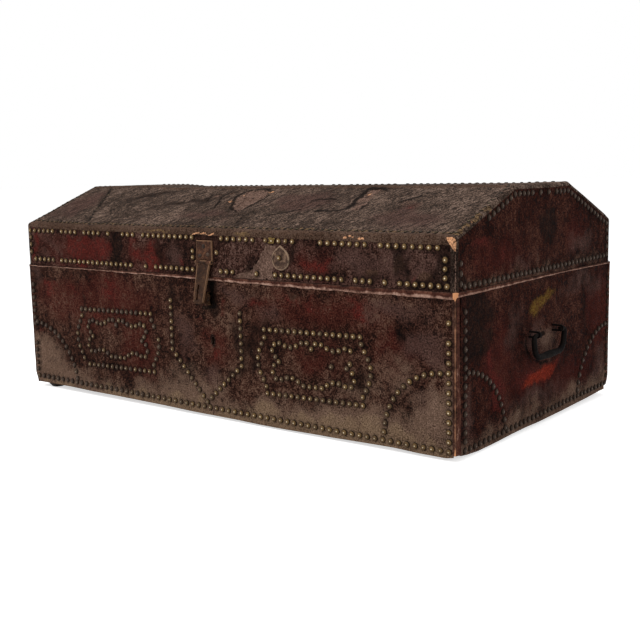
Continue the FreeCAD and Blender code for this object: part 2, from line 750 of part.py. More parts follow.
def hasp_tongue(inner, bore):
    """The tongue at rest, swung out from the face by the rest angle."""
    top, tip = TONGUE_TOP_WIDTH / 2, TONGUE_TIP_WIDTH / 2
    front = TONGUE_BACK - TONGUE_THICK
    start = -HASP_KNUCKLE_RADIUS - HASP_KNUCKLE_MARGIN
    corner, end = TONGUE_TIP_CORNER, -TONGUE_LENGTH
    outline = [
        (-top, start), (top, start), (tip, end + corner), (tip - corner, end),
        (-tip + corner, end), (-tip, end + corner),
    ]
    blade = prism_y(
        [(x, HASP_AXIS_Z + z) for x, z in outline], HASP_AXIS_Y + front, HASP_AXIS_Y + TONGUE_BACK
    )
    x0, x1, z0, z1 = TONGUE_SLOT
    blade = blade.cut(hasp_box(x0, x1, front - 1, TONGUE_BACK + 1, z0, z1))
    web = hasp_box(-inner, inner, front, TONGUE_BACK, start, 0)
    web = web.cut(
        Part.makeCylinder(bore, 2 * inner, Vector(-inner, HASP_AXIS_Y, HASP_AXIS_Z), Vector(1, 0, 0))
    )
    barrel = knuckle(-inner, inner, HASP_AXIS_Y, HASP_AXIS_Z, HASP_KNUCKLE_RADIUS, bore)
    lug_outline = [
        (TONGUE_BACK, LUG_DROP[0]), (LUG_REACH[0], LUG_DROP[0]),
        (LUG_REACH[1], LUG_DROP[1]), (TONGUE_BACK, LUG_DROP[1]),
    ]
    lug = prism_x([(HASP_AXIS_Y + y, HASP_AXIS_Z + z) for y, z in lug_outline], *LUG_X)
    lug = lug.cut(hasp_box(LUG_X[0] - 1, LUG_X[1] + 1, *EYE_Y, *EYE_Z))
    tongue = blade.fuse([web, barrel, lug]).removeSplitter()
    pivot = Vector(0, HASP_AXIS_Y, HASP_AXIS_Z)
    return tongue.rotated(pivot, Vector(1, 0, 0), -HASP_REST_ANGLE)


def make_drop_plate():
    """A thin pear-shaped plate with one domed nail through it."""
    shoulder = math.degrees(math.asin(DROP_RADIUS / DROP_TIP_RISE))
    bowl = bend((DROP_X, DROP_Z), DROP_RADIUS, 180 - shoulder, 360 + shoulder, DROP_STEPS)
    y = FRONT - DROP_THICK
    save("drop_plate", prism_y(bowl + [(DROP_X, DROP_Z + DROP_TIP_RISE)], y, FRONT))
    save("drop_plate_nail", stud((DROP_NAIL[0], y, DROP_NAIL[1]), (0, -1, 0)))


# Lock


def make_lock():
    make_lock_case()
    make_lock_bolt()
    inside = LOCK_BACK_Y - LOCK_WALL
    key_pin = Part.makeCylinder(
        KEY_PIN_RADIUS, KEY_PIN_LENGTH, Vector(KEYHOLE_X, inside, KEYHOLE_Z), Vector(0, -1, 0)
    )
    pegs = [key_pin]
    peg_end = LOCK_FLOOR_Y + LOCK_CLEARANCE
    for x, z in peg_places():
        half = PEG_WIDTH / 2
        pegs.append(box(x - half, x + half, peg_end, inside, z - half, z + half))
    save("lock_pegs", *pegs)
    save("lock_spring", lock_spring())
    face = FRONT_INNER + LOCK_FLANGE_THICK
    inset = LOCK_FLANGE / 2
    nails = []
    for x in (LOCK_X[0] - inset, LOCK_X[1] + inset):
        for z in (LOCK_Z[0] - inset, LOCK_Z[1] + inset):
            nails.append(iron_nail((x, face, z), (0, 1, 0)))
    save("lock_nails", *nails)


def make_lock_case():
    """A pan, open towards the front, with a flange nailed to the board."""
    x0, x1 = LOCK_X
    z0, z1 = LOCK_Z
    w, f = LOCK_WALL, LOCK_FLANGE
    case = box(x0, x1, LOCK_FLOOR_Y, LOCK_BACK_Y, z0, z1)
    flange_end = FRONT_INNER + LOCK_FLANGE_THICK
    case = case.fuse(box(x0 - f, x1 + f, FRONT_INNER, flange_end, z0 - f, z1 + f))
    case = case.cut(box(x0 + w, x1 - w, LOCK_FLOOR_Y - 1, LOCK_BACK_Y - w, z0 + w, z1 - w))
    save("lock_case", case.removeSplitter())


def peg_places():
    """Where the two square pegs stand that guide the bolt's slots."""
    return [(x, sum(z) / 2) for x, z in zip(PEG_X, (BOLT_BAR_Z, BOLT_FOOT_Z))]


def make_lock_bolt():
    """A C-shaped plate: bar for the lug's eye, arm, and a foot for the key."""
    bar0, bar1 = BOLT_BAR_Z
    foot0, foot1 = BOLT_FOOT_Z
    arm = BOLT_BACK_X + BOLT_ARM_WIDTH
    notch0, notch1 = BOLT_NOTCH
    notch_z = foot0 + BOLT_NOTCH_DEPTH
    outline = [
        (BOLT_BACK_X, foot0), (notch0, foot0), (notch0, notch_z), (notch1, notch_z),
        (notch1, foot0), (BOLT_FOOT_END, foot0), (BOLT_FOOT_END, foot1), (arm, foot1),
        (arm, bar0), (BOLT_TIP_X, bar0), (BOLT_TIP_X, bar1), (BOLT_BACK_X, bar1),
    ]
    bolt = prism_y(outline, *BOLT_Y)
    for x, z in peg_places():
        half = PEG_SLOT / 2
        start = x - BOLT_TRAVEL - half
        bolt = bolt.cut(box(start, x + half, BOLT_Y[0] - 1, BOLT_Y[1] + 1, z - half, z + half))
    save("lock_bolt", bolt)


def lock_spring():
    """A bowed leaf held under the case's top, its belly just over the bolt's bar."""
    top = LOCK_Z[1] - LOCK_WALL - SPRING_THICK
    belly = BOLT_BAR_Z[1] + SPRING_GAP
    middle, half = SPRING_MIDDLE_X, SPRING_LENGTH / 2
    steps = 6
    lower = []
    for i in range(steps + 1):
        t = 2 * i / steps - 1
        lower.append((middle + half * t, belly + (top - belly) * t * t))
    upper = [(x, z + SPRING_THICK) for x, z in reversed(lower)]
    return prism_y(lower + upper, BOLT_Y[0], BOLT_Y[0] + SPRING_WIDTH)


# Handles


def bail_line():
    """Centre line of a bail hanging from z = 0, with the bar's radius at each point."""
    top = (-BAIL_HALF_WIDTH + BAIL_TOP_BEND, -BAIL_TOP_BEND)
    low = (-BAIL_HALF_WIDTH + BAIL_TAPER + BAIL_LOW_BEND, -BAIL_DROP + BAIL_LOW_BEND)
    half = [(-BAIL_PIN_END, 0, BAIL_PIN_RADIUS)]
    half += [(y, z, BAIL_PIN_RADIUS) for y, z in bend(top, BAIL_TOP_BEND, 90, 180, 3)]
    half += [(y, z, BAIL_BAR_RADIUS) for y, z in bend(low, BAIL_LOW_BEND, 180, 262, 4)]
    for y, swell in zip((-GRIP_HALF_LENGTH, -GRIP_HALF_LENGTH / 2, 0), GRIP_SWELL):
        radius = BAIL_BAR_RADIUS + (GRIP_RADIUS - BAIL_BAR_RADIUS) * swell
        half.append((y, -BAIL_DROP, radius))
    return half + [(-y, z, r) for y, z, r in reversed(half[:-1])]


def forged_bar(line, sides):
    """A bar hammered to a many-sided section along a line of (y, z, radius)."""
    x = RIGHT + PIVOT_STAND_OFF
    rings = []
    for i, (y, z, radius) in enumerate(line):
        before, after = line[max(i - 1, 0)], line[min(i + 1, len(line) - 1)]
        run = Vector(0, after[0] - before[0], after[1] - before[1])
        run.normalize()
        out = Vector(1, 0, 0)
        side = run.cross(out)
        ring = []
        for k in range(sides):
            turn = 2 * math.pi * (k + 0.5) / sides
            ring.append(
                Vector(x, y, z + PIVOT_Z) + out * (radius * math.cos(turn))
                + side * (radius * math.sin(turn))
            )
        rings.append(ring)
    return skin(rings)


def make_handles():
    """Two hanging bails, each swinging in two staples driven through the end."""
    bail = forged_bar(bail_line(), BAIL_SIDES)
    save("right_handle", bail)
    save("left_handle", mirrored_x(bail))

    for name, y in (("front", -STAPLE_CENTRE), ("back", STAPLE_CENTRE)):
        staple = bent_staple().translated(Vector(0, y, 0))
        save(f"right_{name}_staple", staple)
        save(f"left_{name}_staple", mirrored_x(staple))


def bent_staple():
    """A flat bar bent round the bail's pin, both legs driven through the right end."""
    inner = BAIL_PIN_RADIUS + RUNNING_CLEARANCE
    outer = inner + STAPLE_THICK
    pivot = (RIGHT + PIVOT_STAND_OFF, PIVOT_Z)
    leg = RIGHT - STAPLE_BITE
    outline = [(leg, PIVOT_Z + outer)] + bend(pivot, outer, 90, -90, STAPLE_STEPS)
    outline += [(leg, PIVOT_Z - outer), (leg, PIVOT_Z - inner)]
    outline += bend(pivot, inner, -90, 90, STAPLE_STEPS) + [(leg, PIVOT_Z + inner)]
    return prism_y(outline, -STAPLE_WIDTH / 2, STAPLE_WIDTH / 2)


os.makedirs("parts", exist_ok=True)
make_body_boards()
make_body_hides()
make_feet()
make_lid()
make_studs()
save("hinge_pins", make_hinge("left", -HINGE_X), make_hinge("right", HINGE_X))
make_hinge_nails()
make_hasp()
make_drop_plate()
make_lock()
make_handles()
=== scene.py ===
"""Looks of a leather-covered travelling trunk with a three-plane lid.

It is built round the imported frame: +X to the right as one faces the front, +Y to the back, +Z up.
Places in this file are millimetres in that frame, and MM turns them into Blender's metres.
"""
import math
import random

import bmesh
import bpy
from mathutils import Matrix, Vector, kdtree, noise


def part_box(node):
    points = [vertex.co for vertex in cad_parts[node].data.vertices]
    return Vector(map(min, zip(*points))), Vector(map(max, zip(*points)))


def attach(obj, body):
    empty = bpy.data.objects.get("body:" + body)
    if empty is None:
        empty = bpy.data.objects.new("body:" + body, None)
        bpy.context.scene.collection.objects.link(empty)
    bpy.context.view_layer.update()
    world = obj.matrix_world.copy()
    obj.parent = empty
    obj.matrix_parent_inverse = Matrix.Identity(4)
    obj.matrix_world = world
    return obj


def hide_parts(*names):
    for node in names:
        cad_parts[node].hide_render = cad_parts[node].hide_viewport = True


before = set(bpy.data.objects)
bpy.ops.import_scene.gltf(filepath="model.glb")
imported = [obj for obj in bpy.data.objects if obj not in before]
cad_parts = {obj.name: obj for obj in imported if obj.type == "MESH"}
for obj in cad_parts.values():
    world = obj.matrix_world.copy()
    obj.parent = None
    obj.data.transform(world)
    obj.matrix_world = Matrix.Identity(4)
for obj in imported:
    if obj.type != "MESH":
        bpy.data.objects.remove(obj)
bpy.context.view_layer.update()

MM = 0.001
SEED = 1740

# Places read from the frame
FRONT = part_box("front_hide")[0][1] / MM
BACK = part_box("back_hide")[1][1] / MM
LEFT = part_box("left_end_hide")[0][0] / MM
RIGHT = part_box("right_end_hide")[1][0] / MM
BODY_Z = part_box("front_hide")[0][2] / MM
WALL_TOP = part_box("front_hide")[1][2] / MM
RIM_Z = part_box("rim_strips")[1][2] / MM
LID_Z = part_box("lid_front_hide")[0][2] / MM
FOLD_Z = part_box("lid_front_hide")[1][2] / MM
TOP_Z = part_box("lid_top_hide")[1][2] / MM
FOOT_NODES = [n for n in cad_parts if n.startswith("foot_")]

# The lid's section
RIDGE_Y = 99.5
SLOPE = math.atan2(TOP_Z - FOLD_Z, -RIDGE_Y - FRONT)
SLOPE_LENGTH = math.hypot(TOP_Z - FOLD_Z, -RIDGE_Y - FRONT)

# Leather
HIDE = 2.5
BOARD = 16.0
CELL = 3.0
BACK_CELL = 6.0
FOLD_RADIUS = 7.0
RIDGE_RADIUS = 14.0
EDGE_RADIUS = 6.0
EDGE_ROOF_LEG = 6.4
EDGE_LEG = 8.5
CORNER_FRONT_LEG = 5.6
CORNER_END_LEG = 14.0
CORNER_RADIUS = 5.0
STRIP_RISE = 0.5
RIM_INNER_RADIUS = 0.6
HEM_Z = 324.0
LID_INSET = 3.5
END_INSET = 4.0
PUCKER_DEPTH = 0.9
PUCKER_REACH = 6.5
TORN_DEPTH = 1.1
CRACK_DEPTH = 0.9

# The lid's skin has a finer grid near its right end, where it stops at the bare wedge
FINE_FROM = 478
FINE_CELL = 1.3

# Wear. For each kind: how broadly a patch of it fades at its edge, in mm; where its cover starts and
# ends as its mark rises; its two colours; and how much of it covers. A patch as crisp as CRISP_LIMIT
# keeps closer to its outline. FAR is further from a nail than its marks reach.
WEAR = {
    "maroon": (60.0, 0.3, 1.0, (82, 32, 25), (58, 21, 16), 0.58),
    "plum": (46.0, 0.28, 0.95, (94, 69, 62), (66, 46, 41), 0.72),
    "dusty": (64.0, 0.26, 1.0, (132, 107, 91), (98, 77, 64), 0.85),
    "sand": (24.0, 0.3, 1.0, (142, 118, 94), (112, 91, 72), 0.8),
    "ochre": (16.0, 0.4, 1.05, (122, 94, 34), (78, 52, 26), 0.78),
    "brown": (9.0, 0.3, 0.7, (90, 66, 52), (58, 41, 31), 0.7),
    "red": (27.0, 0.42, 1.0, (106, 38, 32), (60, 28, 24), 0.76),
    "ember": (15.0, 0.4, 1.15, (160, 54, 30), (98, 33, 21), 0.8),
    # dark: the leather's own dark patches, and by the hasp tongue a painted shadow
    "dark": (26.0, 0.4, 0.8, (18, 10, 8), (32, 19, 14), 0.75),
    "olive": (4.0, 0.34, 0.7, (146, 117, 82), (80, 62, 44), 0.75),
    "pale": (7.0, 0.46, 0.58, (132, 106, 93), (82, 62, 53), 0.95),
    "wood": (7.0, 0.46, 0.56, (232, 176, 134), (196, 142, 104), 1.0),
    # crack: cracks and grooves in the leather, also the hasp tongue's painted shadow and painted shade
    # in the keyhole
    "crack": (7.0, 0.4, 0.56, (10, 6, 5), (18, 12, 9), 0.9),
}
# grime darkens the leather round each nail and tack: partly grime, partly painted shade in the pucker
# round its head
MARKS = (*WEAR, "grime", "lip")
CRISP_LIMIT = 16.0
FAR = 99.0

# Where the tone of each leather comes to its four colours, from dark to light
LEATHER_STOPS = (0.22, 0.42, 0.56, 0.74)

# Openings in the front leather, as (x0, x1, z0, z1): the lug's mouth and the keyhole
LUG_MOUTH = (-1.0, 12.0, 202.0, 225.0)
KEYHOLE = (8.5, 13.5, 133.5, 146.5)

# The pear-shaped plate and the torn scrap above it, on the lid's front
DROP_X = 172.0
DROP_Z = 289.0
DROP_RADIUS = 18.5
DROP_POINT = 23.0
SCRAP_X = 156.0
SCRAP_Z = 319.0

# Nails
STUD_RADIUS = 5.0
STUD_HEIGHT = 3.2
STUD_SINK = 1.0
STUD_SIDES = 10
STUD_PITCH = 14.8
TACK_RADIUS = 2.7
TACK_HEIGHT = 1.0
TACK_PITCH = 13.0
RIDGE_NAIL_RADIUS = 3.4
RIDGE_NAIL_HEIGHT = 1.2

# Bails
BAIL_X = 15.0
PIVOT_Z = 160.0
BAIL_HALF_WIDTH = 56.5
BAIL_DROP = 38.0
BAIL_TOP_BEND = 8.0
BAIL_LOW_BEND = 20.0
BAIL_LEAN = 2.0
BAIL_PIN = 3.0
BAIL_PIN_Y = 38.0
BAIL_BAR = 4.6
BAIL_LOW_BAR = BAIL_BAR + 0.5
BAIL_GRIP = 6.2
BAIL_GRIP_Y = 28.0

# Where fittings lie on the leather and keep it flat, as (u0, u1, v0, v1) on their wall
STAPLES = [(y - 3.5, y + 3.5, PIVOT_Z - 7, PIVOT_Z + 7) for y in (-43.0, 43.0)]
STRAPS = [(x - 18, x + 18, 0, 400) for x in (-300.0, 300.0)]
HASP_REST = [(-16, 16, 203, 253)]
LID_FITTINGS = [
    (-19, 19, 258, 330), (DROP_X - 19, DROP_X + 19, 268, 313), (LEFT, RIGHT, 329, 340),
]

# How low the body's leather hangs, along the front (x, z) and along the right end (y, z)
FRONT_HEM = (
    (-500, 13.0), (-395, 10.9), (-320, 9.3), (-249, 9.0), (-115, 7.4), (-40, 5.7), (65, 5.3),
    (120, 3.9), (174, 3.9), (225, 4.7), (275, 4.9), (345, 6.2), (391, 6.8), (434, 5.2), (482, 5.0),
    (494, 7.0), (500, 8.5),
)
END_HEM = (
    (-277, 10.3), (-262, 7.6), (-246, 5.6), (-212, 3.5), (-174, 3.7), (-135, 4.6), (-95, 5.8),
    (-52, 6.3), (-8, 5.5), (85, 6.8), (187, 8.9), (242, 11.1), (262, 13.0), (277, 20.0),
)


def box_mm(node):
    low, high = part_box(node)
    return Vector(low) / MM, Vector(high) / MM


def steps(start, end, size, through=()):
    """Values from start to end about one size apart, passing exactly through some."""
    stops = [start] + sorted(v for v in through if start < v < end) + [end]
    values = [start]
    for a, b in zip(stops, stops[1:]):
        count = max(1, round((b - a) / size))
        values += [a + (b - a) * i / count for i in range(1, count + 1)]
    return values


def smooth(value, low, high):
    t = min(1.0, max(0.0, (value - low) / (high - low)))
    return t * t * (3 - 2 * t)


def bell(value, reach):
    return math.exp(-((value / reach) ** 2))


def read_off(stops, at):
    """The value at a place on a line given by a few (place, value) stops."""
    for (a, low), (b, high) in zip(stops, stops[1:]):
        if at < b:
            return low + (high - low) * min(1.0, max(0.0, (at - a) / (b - a)))
    return stops[-1][1]


def lumps(u, v, size, layer=0.0):
    """Smooth noise between about -1 and 1, with features of the given size."""
    return noise.noise(Vector((u / size, v / size, layer)))


# Shapes of patches. Each gives how deep a place lies inside the patch, in mm.


def oval(centre_u, centre_v, half_u, half_v, tilt=0.0):
    turn = math.radians(tilt)
    c, s = math.cos(turn), math.sin(turn)

    def depth(u, v):
        du, dv = u - centre_u, v - centre_v
        across, up = du * c + dv * s, dv * c - du * s
        return (1 - math.hypot(across / half_u, up / half_v)) * min(half_u, half_v)

    return depth


def area(*corners):
    closed = list(corners) + [corners[0]]

    def depth(u, v):
        inside = False
        nearest = 1e9
        for (au, av), (bu, bv) in zip(closed, closed[1:]):
            if (av > v) != (bv > v) and u < (bu - au) * (v - av) / (bv - av) + au:
                inside = not inside
            nearest = min(nearest, from_segment(u, v, au, av, bu, bv))
        return nearest if inside else -nearest

    return depth


def streak(half_width, *points):
    def depth(u, v):
        pairs = zip(points, points[1:])
        return half_width - min(from_segment(u, v, *a, *b) for a, b in pairs)

    return depth


def from_segment(u, v, au, av, bu, bv):
    du, dv = bu - au, bv - av
    t = min(1.0, max(0.0, ((u - au) * du + (v - av) * dv) / (du * du + dv * dv)))
    return math.hypot(u - au - du * t, v - av - dv * t)


# Patches of wear, with a few of painted shadow, by face. The front's and back's are at (x, z), the ends'
# at (y, z), and the slope's at (x, distance up from the fold).
BODY_FRONT = {
    "red": [
        oval(-434, 218, 15, 17), oval(-258, 214, 38, 15, -8), oval(-238, 200, 12, 14),
        oval(-360, 222, 16, 8), oval(112, 216, 26, 11), area((300, 231), (332, 232), (357, 212),
        (352, 200), (330, 192), (306, 206)), oval(232, 210, 20, 12), oval(44, 192, 12, 9, 30),
        oval(-22, 177, 14, 7), oval(-33, 192, 5, 5), oval(16, 122, 10, 9), oval(190, 222, 13, 9),
        oval(-470, 128, 10, 8), oval(-290, 168, 18, 7), oval(-150, 130, 12, 20),
    ],
    "maroon": [
        oval(-310, 190, 190, 62), oval(-180, 120, 60, 70), oval(250, 205, 160, 34),
        oval(240, 130, 60, 30), oval(15, 130, 38, 34), oval(400, 150, 50, 40),
    ],
    "dusty": [
        area((-580, -70), (-580, 122), (-455, 118), (-410, 88), (-385, 40), (-380, -70)),
        area((580, -70), (580, 120), (455, 116), (415, 86), (392, 45), (388, -70)),
        area((-580, -70), (-580, 50), (-380, 62), (-320, 54), (-290, 38), (-240, 36), (-130, 64),
             (-40, 72), (30, 52), (85, 32), (140, 54), (200, 58), (300, 68), (400, 60), (580, 50),
             (580, -70)),
        oval(330, 88, 50, 14), oval(-60, 74, 40, 20), oval(25, 60, 26, 16), oval(402, 128, 26, 22),
    ],
    "plum": [
        oval(5, 78, 26, 22), oval(-478, 236, 24, 16), oval(75, 232, 30, 14), oval(395, 222, 60, 22),
        oval(455, 75, 34, 40), oval(452, 166, 36, 34), oval(-60, 150, 26, 40, 10), oval(60, 226, 40, 16),
        oval(150, 190, 30, 16),
    ],
    "sand": [
        area((-580, -70), (-580, 18), (-380, 14), (-240, 26), (0, 24), (100, 30), (300, 38), (400, 38),
             (580, 36), (580, -70)),
    ],
    # The first area is a painted shadow of the hasp tongue
    "dark": [
        area((-14, 214), (-6, 262), (22, 262), (30, 205), (26, 186), (4, 182), (-20, 188)),
        area((44, 78), (72, 108), (78, 96), (52, 68)), oval(118, 168, 26, 10), oval(-330, 195, 8, 40),
        oval(3, 138, 4, 10, 20), oval(75, 140, 14, 40), oval(170, 236, 60, 6),
        oval(-92, 225, 8, 24), oval(320, 105, 24, 8), oval(100, 120, 12, 40),
        oval(412, 186, 12, 12),
    ],
    "pale": [oval(455, 247, 8, 3), oval(212, 247, 4, 3)],
    # The first area is the hasp tongue's painted shadow, to its right and below its tip; the first oval
    # is painted shade in the keyhole
    "crack": [
        area((8, 243), (17, 241), (20, 205), (14, 194), (-14, 194), (-10, 202), (12, 204)),
        oval(11, 140, 3.6, 8.5), oval(-2, 146, 2.5, 8, 30),
    ],
}
LID_FRONT = {
    "red": [
        area((-492, 262), (-492, 318), (-462, 318), (-466, 262)),
        area((-372, 264), (-368, 300), (-380, 322), (-256, 322), (-249, 300), (-254, 266)),
        area((-202, 312), (-130, 312), (-116, 300), (-114, 282), (-122, 262), (-150, 262),
             (-176, 276), (-196, 290)),
        area((214, 270), (226, 290), (232, 298), (274, 299), (278, 284), (270, 272)),
        oval(-60, 290, 16, 12), oval(430, 285, 10, 7),
    ],
    "maroon": [oval(-380, 290, 120, 40), oval(-150, 285, 60, 34), oval(240, 285, 50, 30)],
    "dark": [
        area((-247, 258), (-246, 322), (-212, 322), (-218, 258)), oval(-114, 292, 9, 26),
        oval(110, 284, 16, 20), oval(200, 300, 12, 22), oval(404, 296, 14, 22),
        oval(455, 268, 32, 14), oval(340, 272, 26, 8), oval(-8, 320, 60, 8), oval(476, 285, 20, 50),
    ],
    "plum": [
        area((-456, 290), (-450, 314), (-392, 310), (-388, 296), (-420, 286)), oval(-80, 290, 24, 24),
        oval(-446, 270, 12, 12), oval(320, 290, 42, 26), oval(380, 286, 60, 22), oval(440, 294, 40, 18),
        oval(205, 304, 20, 10),
    ],
    "brown": [oval(404, 290, 9, 12), oval(352, 276, 12, 5), oval(450, 276, 12, 9)],
    "pale": [
        area((141, 313), (160, 315), (153, 262), (162, 254), (62, 253), (70, 259), (98, 266),
             (112, 276)),
        oval(104, 252, 60, 2.5),
    ],
}
# A crease up the left of the slope, with tacks along it
CREASE = ((-338, 28), (-378, 92), (-408, 146), (-436, 186))
LID_SLOPE = {
    "pale": [
        area((12, 78), (-14, 96), (-30, 120), (-44, 150), (-38, 170), (-10, 175), (14, 168),
             (22, 150), (20, 118)),
        area((254, 90), (247, 116), (243, 148), (236, 172), (244, 181), (262, 173), (261, 150),
             (268, 120), (269, 90)),
        oval(-96, 150, 7, 5), oval(-70, 158, 5, 4),
    ],
    "dark": [
        streak(5, (210, 72), (236, 96), (250, 122), (232, 150), (236, 168), (262, 178), (290, 176)),
        streak(4, *CREASE), streak(3, (-340, 60), (-366, 122), (-384, 160)),
        oval(-62, 168, 10, 7), oval(-40, 100, 6, 18, 40), oval(-150, 120, 70, 14, 20),
        oval(-280, 150, 60, 16, 24), oval(-220, 60, 14, 6),
        oval(-100, 10, 80, 5), oval(160, 12, 60, 5),
    ],
    "plum": [
        oval(-440, 100, 46, 70), oval(-60, 60, 70, 26), oval(120, 120, 70, 40),
        oval(380, 60, 70, 40),
    ],
    "dusty": [oval(-30, 128, 20, 12, 40), oval(262, 128, 5, 14)],
    "olive": [
        streak(1.8, (-490, 18.2), (-100, 13.4), (490, 13)), oval(-120, -4, 30, 2.5),
        oval(90, -5, 16, 3),
    ],
    "red": [oval(366, 92, 10, 6)],
    "maroon": [oval(360, 96, 30, 16)],
    "wood": [
        streak(1.2, (-27, -7.5), (-8, -7), (22, -6)), streak(0.6, (300, -5), (318, -4)),
        streak(0.6, (330, -5), (340, -5)), oval(22, 163, 4, 2.4), oval(-45, 124, 4, 2.6),
        oval(-36, 152, 3, 2), oval(246, 160, 3, 2),
    ],
    "crack": [
        streak(2.4, (14, 76), (-18, 94), (-36, 120), (-50, 150), (-42, 174), (-12, 181), (20, 172)),
        streak(2.0, (14, 76), (24, 112), (26, 150)),
        streak(3.4, (240, 90), (244, 116), (237, 150), (228, 180), (262, 180), (270, 170)),
        streak(2.6, (186, 84), (216, 84), (246, 92)), streak(2.0, (272, 92), (270, 130)),
        streak(2.2, (-60, 96), (-70, 120), (-84, 140), (-76, 168)),
        streak(2.0, (-104, 126), (-116, 158)), streak(2.0, *CREASE),
        streak(2.0, (92, 60), (128, 78), (150, 92)),
        streak(1.8, (146, 128), (176, 136), (200, 128)), streak(1.8, (330, 120), (356, 150)),
    ],
    "ochre": [oval(-40, 6, 40, 4)],
    "brown": [
        area((-505, -22), (505, -22), (505, 9), (100, 8), (-300, 12), (-460, 16), (-505, 16)),
        area((-520, 186), (520, 182), (520, 204), (410, 214), (300, 201), (180, 211), (70, 202),
             (-60, 215), (-190, 203), (-300, 213), (-420, 204), (-520, 211)),
    ],
}
# The groove that the bail has worn below its pivots
HANDLE_GROOVE = (
    (-56, 160), (-56, 150), (-54, 140), (-47, 129), (-38, 120), (-27, 113), (-19, 110),
    (-4, 108.6), (21, 105),
)
BODY_END = {
    "red": [
        area((-115, 96), (-60, 98), (-17, 104), (62, 100), (62, 86), (46, 68), (0, 72),
             (-50, 78), (-110, 84)),
        area((-200, 190), (-182, 184), (-140, 110), (-130, 66), (-160, 60), (-190, 120)),
    ],
    "maroon": [
        oval(-150, 130, 60, 70), oval(-60, 90, 120, 40), oval(120, 60, 90, 50),
        oval(236, 165, 60, 80),
    ],
    "ochre": [
        area((-50, 197), (-46, 213), (-10, 222), (28, 229), (54, 228), (50, 214), (20, 205),
             (-6, 199), (-18, 184), (-30, 188)),
    ],
    "dusty": [
        oval(20, 140, 30, 14), area((-320, -70), (-320, 22), (0, 36), (180, 46), (320, 70), (320, -70)),
    ],
    "dark": [
        area((-250, 250), (-170, 240), (-176, 170), (-216, 130), (-250, 150)),
        oval(172, 182, 12, 46, 10), oval(-20, 244, 90, 4),
    ],
    "ember": [
        area((-70, 78), (-30, 96), (20, 101), (64, 102), (60, 84), (36, 70), (-10, 72), (-66, 72)),
    ],
    "plum": [
        oval(214, 216, 34, 16), oval(-30, 160, 40, 20), oval(-240, 60, 20, 40), oval(10, 140, 40, 22),
        oval(-95, 178, 18, 34), oval(150, 226, 66, 20), oval(-20, 50, 110, 16), oval(230, 70, 34, 34),
    ],
    "crack": [streak(1.8, *HANDLE_GROOVE), oval(6, 152, 6, 4, 30)],
}
LID_END = {
    "red": [oval(-205, 312, 34, 12, 12), oval(-130, 296, 16, 7)],
    "maroon": [oval(-150, 300, 90, 30), oval(120, 320, 50, 30)],
    "dark": [area((-24, 352), (44, 358), (66, 322), (28, 300), (-18, 312)), oval(-255, 268, 14, 16)],
    "plum": [oval(-70, 284, 30, 14), oval(150, 300, 50, 20)],
    "dusty": [oval(40, 264, 150, 5), oval(-200, 262, 40, 4)],
}
LID_EDGE = {
    "wood": [streak(1.2, (-252, 344), (-243, 347.5)), streak(1.0, (-232, 351.5), (-226, 353.5))],
    "olive": [
        streak(4.0, (-268, 338), (-238, 349)), streak(3.6, (-224, 354.5), (-204, 361.5)),
        streak(2.4, (-188, 367), (-176, 371.5)),
    ],
    "dark": [area((-290, 250), (-262, 250), (-262, 322), (-290, 322))],
}
# The bare wedge at the lid's front right corner, at (x, z)
WEDGE = area((483.5, 332), (503, 332), (499.5, 312), (497, 312))
HIDDEN_SIDE = {
    "red": [oval(-300, 180, 40, 22), oval(160, 120, 46, 26), oval(70, 95, 40, 14)],
    "maroon": [oval(-240, 160, 140, 70), oval(260, 130, 170, 60), oval(20, 60, 90, 40)],
    "dusty": [area((-500, 8), (-500, 44), (0, 34), (500, 50), (500, 8)), oval(-60, 190, 90, 40)],
    "dark": [oval(380, 190, 60, 34), oval(-420, 120, 40, 60), oval(120, 235, 90, 8)],
}
LEFT_END = {
    "red": [oval(-40, 84, 46, 12), oval(170, 150, 26, 34)],
    "maroon": [oval(120, 140, 90, 70), oval(-120, 90, 90, 50)],
    "dusty": [
        area((-320, -70), (-320, 40), (-200, 52), (-90, 24), (60, 30), (190, 46), (320, 60), (320, -70)),
        oval(10, 138, 30, 14), oval(90, 218, 60, 10),
    ],
    "dark": [
        area((-250, 250), (-150, 236), (-190, 190), (-240, 140)),
        area((170, 210), (250, 230), (230, 150)),
    ],
    "plum": [oval(-80, 190, 60, 24)],
}


# Meshes


def leather(name, us, vs, surface, relief, marks, thick=HIDE, keep=None, closed=False):
    """A sheet of leather over a grid of (u, v), its free edges turned in to its thickness.

    surface(u, v) gives the place and the normal of the flat sheet; marks(u, v, place) the wear
    there; relief(u, v, wear) how far it stands out.
    """
    bm = bmesh.new()
    layers = {mark: bm.verts.layers.float.new(mark) for mark in MARKS}
    tag = bm.verts.layers.int.new("source")
    under = []
    grid = []
    for u in us[:-1] if closed else us:
        column = []
        for v in vs:
            place, normal = surface(u, v)
            wear = marks(u, v, place)
            vert = bm.verts.new((place + normal * relief(u, v, wear)) * MM)
            for mark, value in wear.items():
                if mark in layers:
                    vert[layers[mark]] = value
            vert[tag] = len(under)
            under.append((place - normal * thick) * MM)
            column.append(vert)
        grid.append(column)
    if closed:
        grid.append(grid[0])
    for i, (a, b) in enumerate(zip(grid, grid[1:])):
        for j in range(len(vs) - 1):
            middle = ((us[i] + us[i + 1]) / 2, (vs[j] + vs[j + 1]) / 2)
            if keep is None or keep(*middle):
                bm.faces.new((a[j], b[j], b[j + 1], a[j + 1]))
    stray = [v for v in bm.verts if not v.link_faces]
    bmesh.ops.delete(bm, geom=stray, context="VERTS")
    hem = [e for e in bm.edges if e.is_boundary]
    made = bmesh.ops.extrude_edge_only(bm, edges=hem)["geom"]
    for vert in made:
        if isinstance(vert, bmesh.types.BMVert):
            vert.co = under[vert[tag]]
    bmesh.ops.recalc_face_normals(bm, faces=bm.faces)
    bm.faces.ensure_lookup_table()
    first = bm.faces[0]
    _, outward = surface(us[0], vs[0])
    if first.normal.dot(outward) < 0:
        bmesh.ops.reverse_faces(bm, faces=bm.faces)
    return finished(name, bm)


